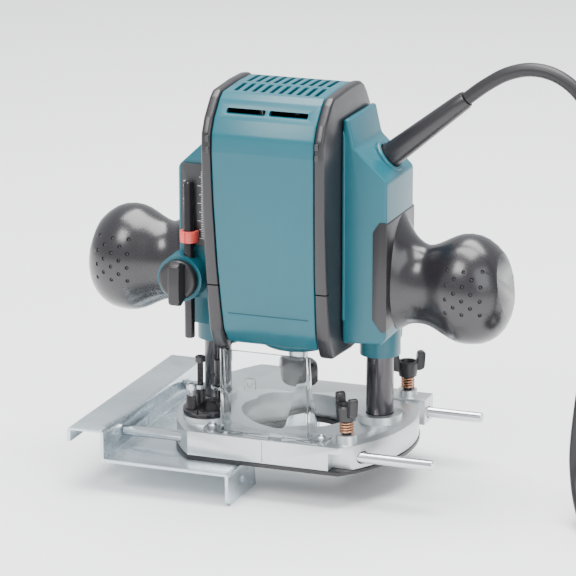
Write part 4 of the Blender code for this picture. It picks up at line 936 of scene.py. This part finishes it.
class ROUTER_OT_sides(Operator):
    """Side housings that ride on the columns, with their rims, panels and scale, and the bearing nose"""
    bl_idname = "router.sides"
    bl_label = "Side housings and nose"

    def execute(self, context):
        for side, name in ((-1, "left"), (1, "right")):
            self.housing(side, name)
        nose = turned("nose", [
            (0.0113, 0.0195), (0.0233, 0.0195), (0.0233, 0.0042), (0.0226, 0.0036), (0.0226, 0.0028),
            (0.0216, 0.0012), (0.0196, 0.0), (0.0080, 0.0), (0.0080, 0.006), (0.0113, 0.006)],
                      (0, 0, SOLE_Z + 0.0585), steps=72)
        cut(nose, rod("button_hole", (0, 0.013, LOCK_BUTTON_Z), (0, 0.03, LOCK_BUTTON_Z), 0.0028, steps=32))
        finished(eased(nose, 0.0003, 2, 45), "shell", "head", "bearing_nose")
        return {"FINISHED"}

    def housing(self, side, name):
        foot, top = HEAD_Z, SOLE_Z + 0.2025
        outline = [(SIDE_IN, foot), (SIDE_OUT - 0.003, foot + 0.001), (SIDE_OUT, foot + 0.005),
                   (0.064, SOLE_Z + 0.1676), (0.0445, SOLE_Z + 0.1859), (0.0408, top), (SIDE_IN, top)]
        outline = filleted(outline, [0, 0.002, 0.003, 0.005, 0.006, 0.002, 0], 5)
        shell = plate(name + "_side_shell", [(side * x, z) for x, z in outline], -SIDE_FRONT,
                      SIDE_REAR, "Y")
        eased(shell, 0.0030, 4, 50)
        if side < 0:
            cut(shell, block("recess", (-SIDE_OUT - 0.01, -SIDE_FRONT - 0.01, foot - 0.01),
                             (-SIDE_IN + 0.001, RECESS_Y, RECESS_TOP)))
        front = RECESS_Y if side < 0 else -SIDE_FRONT
        low, high = sorted((side * (SIDE_IN - 0.004), side * (SIDE_OUT - 0.0026)))
        cut(shell, block("hollow", (low, front + 0.0026, foot + 0.0026),
                         (high, SIDE_REAR - 0.0026, SOLE_Z + 0.1635)))
        fused(shell, rod("column_guide", (side * COLUMN_X, 0, foot - 0.0125),
                         (side * COLUMN_X, 0, SOLE_Z + 0.1600), 0.0120, 0.0126, 64))
        tools = [rod("column_bore", (side * COLUMN_X, 0, foot - 0.02), (side * COLUMN_X, 0, SOLE_Z + 0.157),
                     0.0087, steps=64)]
        if side < 0:
            fused(shell, rod("clamp_boss", (CLAMP[0], -0.0235, CLAMP[1]),
                             (CLAMP[0], CLAMP_BOSS_FRONT, CLAMP[1]), 0.0145, 0.0138, 64))
            tools += [rod("pole_bore", (*POLE, 0.05), (*POLE, 0.3), 0.0034),
                      rod("nut_room", (*LIMIT, foot - 0.002), (*LIMIT, foot + 0.022), 0.0044),
                      rod("clamp_bore", (CLAMP[0], -0.050, CLAMP[1]),
                          (CLAMP[0], -0.0377, CLAMP[1]), 0.0024),
                      plate("scale_seat",
                            filleted(rectangle(-0.0622, SOLE_Z + 0.1202, -0.0455, SOLE_Z + 0.1712),
                                     0.002, 4), -0.032, -SIDE_FRONT + 0.0003, "Y")]
        else:
            cut(shell, rod("guard_hole", GUARD_ROOT - GUARD_AXIS * 0.0103, GUARD_ROOT + GUARD_AXIS * 0.02,
                           0.0076, steps=48))
            rim = turned("guard_rim", [(0.0077, -0.004), (0.0106, -0.004), (0.0106, 0.0008),
                                       (0.0100, 0.0016), (0.0084, 0.0016), (0.0077, 0.0008)],
                         GUARD_ROOT + GUARD_AXIS * 0.0005, GUARD_AXIS, 64)
            fused(shell, rim)
        cut(shell, *tools)
        eased(shell, 0.0003, 2, 50)
        finished(shell, "shell", "head", name + "_side_housing", angle=30)
        edge = plate(name + "_edge_bead", filleted([
            (side * (SIDE_IN + 0.0002), foot + 0.014), (side * (SIDE_IN + 0.0018), foot + 0.014),
            (side * (SIDE_IN + 0.0018), top - 0.010), (side * (SIDE_IN + 0.0002), top - 0.005)], 0.0005, 2),
                     -SIDE_FRONT - 0.0009, -SIDE_FRONT + 0.0030, "Y")
        finished(eased(edge, 0.0005, 3), "shell", "head")
        panel = plate(name + "_grip_panel", filleted([
            (side * 0.0612, SOLE_Z + 0.0790), (side * 0.0644, SOLE_Z + 0.0790),
            (side * 0.0644, SOLE_Z + 0.1440), (side * 0.0600, SOLE_Z + 0.1440),
            (side * 0.0560, SOLE_Z + 0.1380), (side * 0.0560, SOLE_Z + 0.0860)], 0.0015, 3),
                      -SIDE_FRONT - 0.0006, SIDE_REAR + 0.0005, "Y")
        if side < 0:
            cut(panel, block("clear", (-0.09, -0.05, 0), (0, -0.0200, 0.4)))
        near, far = sorted((side * 0.0400, side * 0.0638))
        cut(panel, block("core", (near, -0.0286 if side > 0 else -0.03, 0), (far, 0.0197, 0.4)))
        eased(panel, 0.0003, 2, 40)
        finished(panel, "rubber", "head")


class ROUTER_OT_handles(Operator):
    """Two soft knob handles with a flattened end, a flared root and grip dimples"""
    bl_idname = "router.handles"
    bl_label = "Handles"

    def execute(self, context):
        reach = HANDLE_END - SIDE_OUT - GAP
        stations = [(1.0, 0.0), (1.0, 0.30), (0.985, 0.46), (0.95, 0.62), (0.90, 0.76), (0.84, 0.865),
                    (0.77, 0.945), (0.70, 0.985), (0.62, 1.0), (0.55, 0.985), (0.49, 0.945), (0.43, 0.885),
                    (0.38, 0.83), (0.33, 0.78), (0.28, 0.74), (0.23, 0.718), (0.18, 0.71), (0.13, 0.718),
                    (0.09, 0.735), (0.06, 0.765), (0.03, 0.80), (0.0, 0.84), (0.0, 0.0)]
        droop_start, droop = 0.045, 0.10
        root_length, flare_above, flare_below = 0.017, 0.52, 0.02
        for side, name in ((-1, "left"), (1, "right")):
            grip = turned(name + "_grip", [(r * HANDLE_RADIUS, s * reach) for s, r in stations], (0, 0, 0),
                          (side, 0, 0), 96)
            for vert in grip.data.vertices:
                vert.co.y *= HANDLE_FLATTEN
                vert.co.z -= max(0.0, abs(vert.co.x) - droop_start) * droop
                root = max(0.0, 1.0 - abs(vert.co.x) / root_length) ** 1.6
                vert.co.z *= 1.0 + root * (flare_above if vert.co.z > 0 else flare_below)
            moved(grip, (side * (SIDE_OUT + GAP), 0, HANDLE_Z))
            slope = Vector((side * 0.985, 0, 0.17)).normalized()
            face = Vector((side * 0.1277, 0, HANDLE_Z))
            edit(grip, lambda: bpy.ops.mesh.bisect(plane_co=face, plane_no=slope, use_fill=True,
                                                   clear_outer=True))
            eased(grip, 0.0016, 4, 30)
            dimples = []
            radius = context.scene.router_sizes.dimple_radius
            for row in range(5):
                for column in range(3 if row % 2 else 4):
                    x = side * (0.0985 + row * 0.0050)
                    lift = (column - (1.0 if row % 2 else 1.5)) * 0.0082 + 0.004
                    depth = self.skin_depth(grip, x, HANDLE_Z + lift)
                    nothing_selected()
                    bpy.ops.mesh.primitive_uv_sphere_add(segments=16, ring_count=8, radius=radius,
                                                         location=(x, depth + radius * 0.25 - 0.0002,
                                                                   HANDLE_Z + lift))
                    dimples.append(added("dimple"))
            cut(grip, gathered(dimples))
            finished(grip, "grip", "head", name + "_handle", angle=40)
        return {"FINISHED"}

    def skin_depth(self, grip, x, z):
        """Y of the front surface of a handle at a place."""
        hit, place, _, _ = grip.ray_cast(Vector((x, -0.1, z)), Vector((0, 1, 0)))
        if not hit:
            raise RuntimeError("no handle surface for a dimple")
        return place.y


class ROUTER_OT_depth_stop(Operator):
    """Stopper pole with its pointer, the clamp knob with a fin, and the printed scale"""
    bl_idname = "router.depth_stop"
    bl_label = "Depth stop"

    def execute(self, context):
        low, high = SOLE_Z + 0.0655, SOLE_Z + 0.1595
        pole = turned("pole", [(0, 0), (0.0024, 0), (0.003, 0.0006), (0.003, high - low - 0.0012),
                               (0.0022, high - low), (0, high - low)],
                      (*POLE, low), steps=48)
        finished(pole, "oxide", "pole", "stopper_pole")
        mouth = 0.0007
        clip = plate("pointer", arc(POLE, 0.0056, 150, 390, 40) + arc(POLE, 0.0033, 390, 150, 40),
                     SOLE_Z + 0.1235, SOLE_Z + 0.1302)
        eased(clip, 0.0004, 2, 50)
        cut(clip, block("line", (POLE[0] - mouth, POLE[1] - 0.01, 0.1),
                        (POLE[0] + mouth, POLE[1] - 0.0049, 0.2)))
        finished(clip, "red", "pointer", "depth_pointer")
        face = CLAMP_BOSS_FRONT - GAP
        knob = turned("knob", [(0, 0.0042), (0.0088, 0.0048), (0.0104, 0.0044), (0.0116, 0.0032),
                               (0.0118, 0.0022), (0.0118, 0.0), (0.002, 0.0), (0.002, -0.0013),
                               (0, -0.0013)], (CLAMP[0], face, CLAMP[1]), (0, -1, 0), 72)
        fin_outline = filleted([(-0.0030, -0.0105), (-0.0100, -0.0135), (-0.0145, -0.0120), (-0.0152, 0.0),
                                (-0.0145, 0.0115), (-0.0100, 0.0128), (-0.0030, 0.0105)],
                               [0, 0.003, 0.003, 0.03, 0.003, 0.003, 0], 6)
        fin = plate("fin", [(y + face, z + CLAMP[1]) for y, z in fin_outline], CLAMP[0] - 0.0016,
                    CLAMP[0] + 0.0056, "X")
        fused(knob, eased(fin, 0.0014, 3, 50))
        finished(eased(knob, 0.0004, 2, 40), "black", "clamp", "clamp_knob")
        self.scale()
        return {"FINISHED"}

    def scale(self):
        front, low, high = -SIDE_FRONT - GAP - 0.0008, SOLE_Z + 0.1205, SOLE_Z + 0.1695
        card = plate("scale_card", filleted(rectangle(-0.0615, low, -0.0462, high), 0.0012, 4),
                     front, -SIDE_FRONT - GAP, "Y")
        finished(eased(card, 0.0002, 2), "plate", "head", "depth_scale")
        marks = []
        for i in range(39):
            z = low + 0.0045 + i * 0.00105
            reach = 0.0046 if i % 10 == 0 else 0.0034 if i % 5 == 0 else 0.0022
            marks.append(block("tick", (-0.0470 - reach, front - 0.00004, z - 0.00014),
                               (-0.0470, front + 0.0002, z + 0.00014)))
        ticks = gathered(marks)
        ticks.name = "scale_marks"
        finished(ticks, "ink", "head")
        for i in range(4):
            nothing_selected()
            bpy.ops.object.text_add(location=(-0.0606, front - 0.00004, low + 0.0037 + i * 0.0105),
                                    rotation=(math.radians(90), 0, 0))
            number = bpy.context.object
            number.data.body = str(i * 10)
            number.data.size = 0.0048
            number.data.extrude = 0.00003
            pick(number)
            bpy.ops.object.convert(target="MESH")
            finished(added("scale_number_%d" % (i * 10)), "ink", "head")


class ROUTER_OT_controls(Operator):
    """Switch, plunge lock lever and shaft lock on the back"""
    bl_idname = "router.controls"
    bl_label = "Controls"

    def execute(self, context):
        y = SIDE_REAR + GAP
        slider = plate("switch", filleted(rectangle(-0.057, SOLE_Z + 0.141, -0.045, SOLE_Z + 0.159),
                                          0.0018, 4), y, y + 0.0036, "Y")
        fused(slider, *[block("ridge", (-0.056, y + 0.003, SOLE_Z + 0.150 + z),
                              (-0.046, y + 0.0048, SOLE_Z + 0.1516 + z))
                        for z in (-0.006, -0.0025, 0.001, 0.0045)])
        finished(eased(slider, 0.0004, 2, 40), "black", "switch", "switch_slider")
        lift = SOLE_Z + 0.094
        lever = turned("lever", [(0, 0.0074), (0.004, 0.0074), (0.0046, 0.008), (0.006, 0.008),
                                 (0.0075, 0.006), (0.0075, 0), (0, 0)],
                       (COLUMN_X, y, lift), (0, 1, 0), 48)
        arm = plate("arm",
                    filleted([(COLUMN_X - 0.006, lift), (COLUMN_X - 0.0042, lift - 0.034),
                              (COLUMN_X, lift - 0.037),
                              (COLUMN_X + 0.0042, lift - 0.034), (COLUMN_X + 0.006, lift)],
                             [0, 0.003, 0.006, 0.003, 0], 4),
                    y + 0.002, y + 0.0075, "Y")
        fused(lever, arm)
        finished(eased(lever, 0.0006, 3, 40), "black", "plunge_lock", "lock_lever")
        button = turned("lock_button", [(0, 0.0108), (0.0016, 0.0106), (0.0023, 0.0098), (0.0024, 0.0090),
                                        (0.0024, 0), (0, 0)],
                        (0, 0.0160, LOCK_BUTTON_Z), (0, 1, 0), 40)
        finished(button, "black", "shaft_lock", "shaft_lock_button")
        return {"FINISHED"}


class ROUTER_OT_spindle(Operator):
    """Collet nut with its spanner flats, the spindle neck and the motor inside"""
    bl_idname = "router.spindle"
    bl_label = "Spindle and motor"

    def execute(self, context):
        low = SOLE_Z + 0.034
        nut = turned("hex_nut", [(0.0045, 0.0), (0.0123, 0.0), (0.0123, 0.0135), (0.0062, 0.0135),
                                 (0.0062, 0.006), (0.0045, 0.006)],
                     (0, 0, low), steps=6)
        dome = turned("dome", [(0, -0.001), (0.0098, -0.001), (0.0112, 0.0006), (0.0124, 0.0024),
                               (0.0124, 0.0098), (0.0112, 0.0120), (0.0092, 0.0136), (0, 0.0136)],
                      (0, 0, low), steps=72)
        combined(nut, "INTERSECT", [dome])
        finished(eased(nut, 0.0002, 2, 40), "oxide", "nut", "collet_nut")
        painted("screw", "spindle", "collet", "lower_bearing", "upper_bearing")
        painted("copper", "rotor_core", "commutator")
        painted("oxide", "stator")
        painted("carbon", "left_brush", "right_brush")
        painted("black", "fan")
        return {"FINISHED"}


# ---------------------------------------------------------------- cord

class ROUTER_OT_cord(Operator):
    """Mains cord from its guard to the plug, wound in one coil of two columns and four layers"""
    bl_idname = "router.cord"
    bl_label = "Cord, guard and plug"

    def execute(self, context):
        sizes = context.scene.router_sizes
        start = GUARD_ROOT - GUARD_AXIS * 0.010
        guard = turned("tapered_guard", [(0, 0), (0.0068, 0), (0.0072, 0.0004), (0.0072, 0.014),
                                         (0.0069, 0.024), (0.0062, 0.044), (0.0056, 0.062),
                                         (0.0053, 0.0685), (0.0048, 0.070), (0.0, 0.070)], start,
                       GUARD_AXIS, 64)
        finished(guard, "rubber", "head", "cord_guard")
        path = self.route()
        cord = strand("mains_cord", path, sizes.cord_radius, 5)
        finished(cord, "cord", None, "cord_tube", "cord_coil", angle=60)
        plug = self.plug()
        length = sum((b - a).length for a, b in zip(path, path[1:]))
        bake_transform(cord)
        return {"FINISHED"}

    def route(self):
        outer, inner, first, pitch = 0.0495, 0.0408, 0.0043, 0.0081
        cells = [(outer, 0), (inner, 0), (inner, 1), (outer, 1), (outer, 2), (inner, 2), (inner, 3),
                 (outer, 3)]
        reach, earlier = 100.0, 45.0
        stops = [270.0 + (360.0 - earlier) * k for k in range(len(cells) - 1)]
        turns = []
        angle, stride, overrun = -86.0, 5.0, 20.0
        while angle < stops[-1] + overrun:
            radius, layer = cells[0]
            for k, stop in enumerate(stops):
                share = min(1.0, max(0.0, (angle - (stop - reach)) / reach))
                share = share * share * (3 - 2 * share)
                radius += (cells[k + 1][0] - cells[k][0]) * share
                layer += (cells[k + 1][1] - cells[k][1]) * share
            radius += 0.0050 * max(0.0, (-50.0 - angle) / 36.0) ** 2
            place = math.radians(angle)
            turns.append(Vector((COIL_CENTRE[0] + radius * math.cos(place),
                                 COIL_CENTRE[1] + radius * math.sin(place), first + layer * pitch)))
            angle += stride
        path = smooth_row(CORD_ROUTE + [tuple(turns[0])], 0.004)[:-1] + turns
        last = turns[-1]
        tail = Vector((0.2535, 0.0365, 0.0423))
        span = (tail - last).length * 1.1
        lean, pull = (turns[-1] - turns[-2]).normalized() * span, Vector((-span, 0, 0))
        for i in range(1, 13):
            t = i / 12
            path.append(last * (2 * t ** 3 - 3 * t ** 2 + 1) + lean * (t ** 3 - 2 * t ** 2 + t)
                        + tail * (3 * t ** 2 - 2 * t ** 3) + pull * (t ** 3 - t ** 2))
        return path

    def plug(self):
        y, middle = COIL_CENTRE[1] + 0.045, 0.0423
        body = plate("mains_plug",
                     filleted([(0.200, y - 0.012), (0.236, y - 0.0085), (0.236, y + 0.0085),
                               (0.200, y + 0.012)],
                              [0.003, 0.004, 0.004, 0.003], 5), middle - 0.009,
                     middle + 0.009)
        eased(body, 0.0022, 4, 50)
        cut(body, *[block("grip", (0.2145 + i * 0.0042, y - 0.014, middle - 0.0052),
                          (0.2163 + i * 0.0042, y - 0.0103, middle + 0.0052))
                    for i in range(4)])
        cut(body, *[block("grip", (0.2145 + i * 0.0042, y + 0.0103, middle - 0.0052),
                          (0.2163 + i * 0.0042, y + 0.014, middle + 0.0052))
                    for i in range(4)])
        sleeve = [(0.0072, 0.0)] + [(0.0070 - 0.0018 * k / 8 - 0.0008 * (k % 2), 0.002 + 0.0018 * k)
                                    for k in range(9)] + [(0.0045, 0.0176)]
        fused(body, turned("sleeve", [(0, 0)] + sleeve + [(0, 0.0176)], (0.235, y, middle), (1, 0, 0), 40))
        eased(body, 0.0003, 2, 45)
        finished(body, "rubber", "base", "plug")
        for number, pin in enumerate((-0.0075, 0.0075), 1):
            prong = turned("plug_pin_%d" % number,
                           [(0, 0), (0.0012, 0.0001), (0.0020, 0.0012), (0.0022, 0.0030), (0.0022, 0.0190),
                            (0, 0.0190)], (0.182, y + pin, middle), (1, 0, 0), 32)
            finished(prong, "steel", "base")
        return body


# ---------------------------------------------------------------- stage

class ROUTER_OT_stage(Operator):
    """Plain pale floor, soft studio light and the camera"""
    bl_idname = "router.stage"
    bl_label = "Stage"

    def execute(self, context):
        nothing_selected()
        bpy.ops.mesh.primitive_plane_add(size=12.0, location=(0, 0, 0))
        floor = added("floor")
        pale = Finish("pale_floor", "")
        cloud = pale.noise(3.0, 4.0)
        pale.feed(Base_Color=pale.mix(cloud, (0.92, 0.92, 0.92), (0.95, 0.95, 0.95)),
                  Roughness=0.62 + (cloud - 0.5) * 0.1)
        floor.data.materials.append(pale.material)
        world = bpy.data.worlds.new("studio")
        context.scene.world = world
        world.use_nodes = True
        world.node_tree.nodes["Background"].inputs["Color"].default_value = (0.93, 0.96, 1.0, 1.0)
        world.node_tree.nodes["Background"].inputs["Strength"].default_value = 1.0
        for name, place, size, power, tone in (
                ("key", (-0.5, -1.5, 1.6), 0.8, 30.0, (1.0, 0.99, 0.97)),
                ("fill", (1.3, -0.9, 0.8), 1.1, 11.0, (0.95, 0.98, 1.0)),
                ("top", (0.1, 0.2, 1.9), 1.6, 100.0, (1.0, 1.0, 1.0))):
            bpy.ops.object.light_add(type="AREA", location=place)
            lamp = context.object
            lamp.name = name
            lamp.data.size = size
            lamp.data.energy = power
            lamp.data.color = tone
            lamp.rotation_euler = (Vector((0, 0, 0.1)) - Vector(place)).to_track_quat("-Z", "Y").to_euler()
        azimuth, elevation, distance, sideways = math.radians(20.4), math.radians(15.6), 1.941, -0.0062
        along = Vector((-math.sin(azimuth) * math.cos(elevation), math.cos(azimuth) * math.cos(elevation),
                        -math.sin(elevation)))
        target = Vector((sideways * math.cos(azimuth), sideways * math.sin(azimuth), 0.1125))
        bpy.ops.object.camera_add(location=target - along * distance)
        camera = context.object
        camera.rotation_euler = along.to_track_quat("-Z", "Y").to_euler()
        camera.data.lens = 206.25
        camera.data.sensor_width = 36.0
        context.scene.camera = camera
        return {"FINISHED"}


STEPS = (ROUTER_OT_stage, ROUTER_OT_cord, ROUTER_OT_base, ROUTER_OT_columns, ROUTER_OT_guide,
         ROUTER_OT_thumb_screws, ROUTER_OT_shield, ROUTER_OT_stops, ROUTER_OT_shells, ROUTER_OT_sides,
         ROUTER_OT_handles, ROUTER_OT_depth_stop, ROUTER_OT_controls, ROUTER_OT_spindle)


class ROUTER_PT_pieces(Panel):
    """The router's pieces, in the 3D view's sidebar"""
    bl_idname = "ROUTER_PT_pieces"
    bl_label = "Plunge router"
    bl_space_type = "VIEW_3D"
    bl_region_type = "UI"
    bl_category = "Router"

    def draw(self, context):
        for group in (context.scene.router_sizes, context.scene.router_colours):
            for name in group.bl_rna.properties.keys():
                if name not in {"rna_type", "name"}:
                    self.layout.prop(group, name)
        for step in STEPS:
            self.layout.operator(step.bl_idname)


CLASSES = (RouterSizes, RouterColours, *STEPS, ROUTER_PT_pieces)


def register():
    for cls in CLASSES:
        bpy.utils.register_class(cls)
    bpy.types.Scene.router_sizes = PointerProperty(type=RouterSizes)
    bpy.types.Scene.router_colours = PointerProperty(type=RouterColours)


def unregister():
    del bpy.types.Scene.router_colours
    del bpy.types.Scene.router_sizes
    for cls in reversed(CLASSES):
        bpy.utils.unregister_class(cls)


def main():
    register()
    prepare_finishes(bpy.context.scene.router_colours)
    for step in STEPS:
        group, name = step.bl_idname.split(".")
        getattr(getattr(bpy.ops, group), name)()


if __name__ == "__main__":
    main()
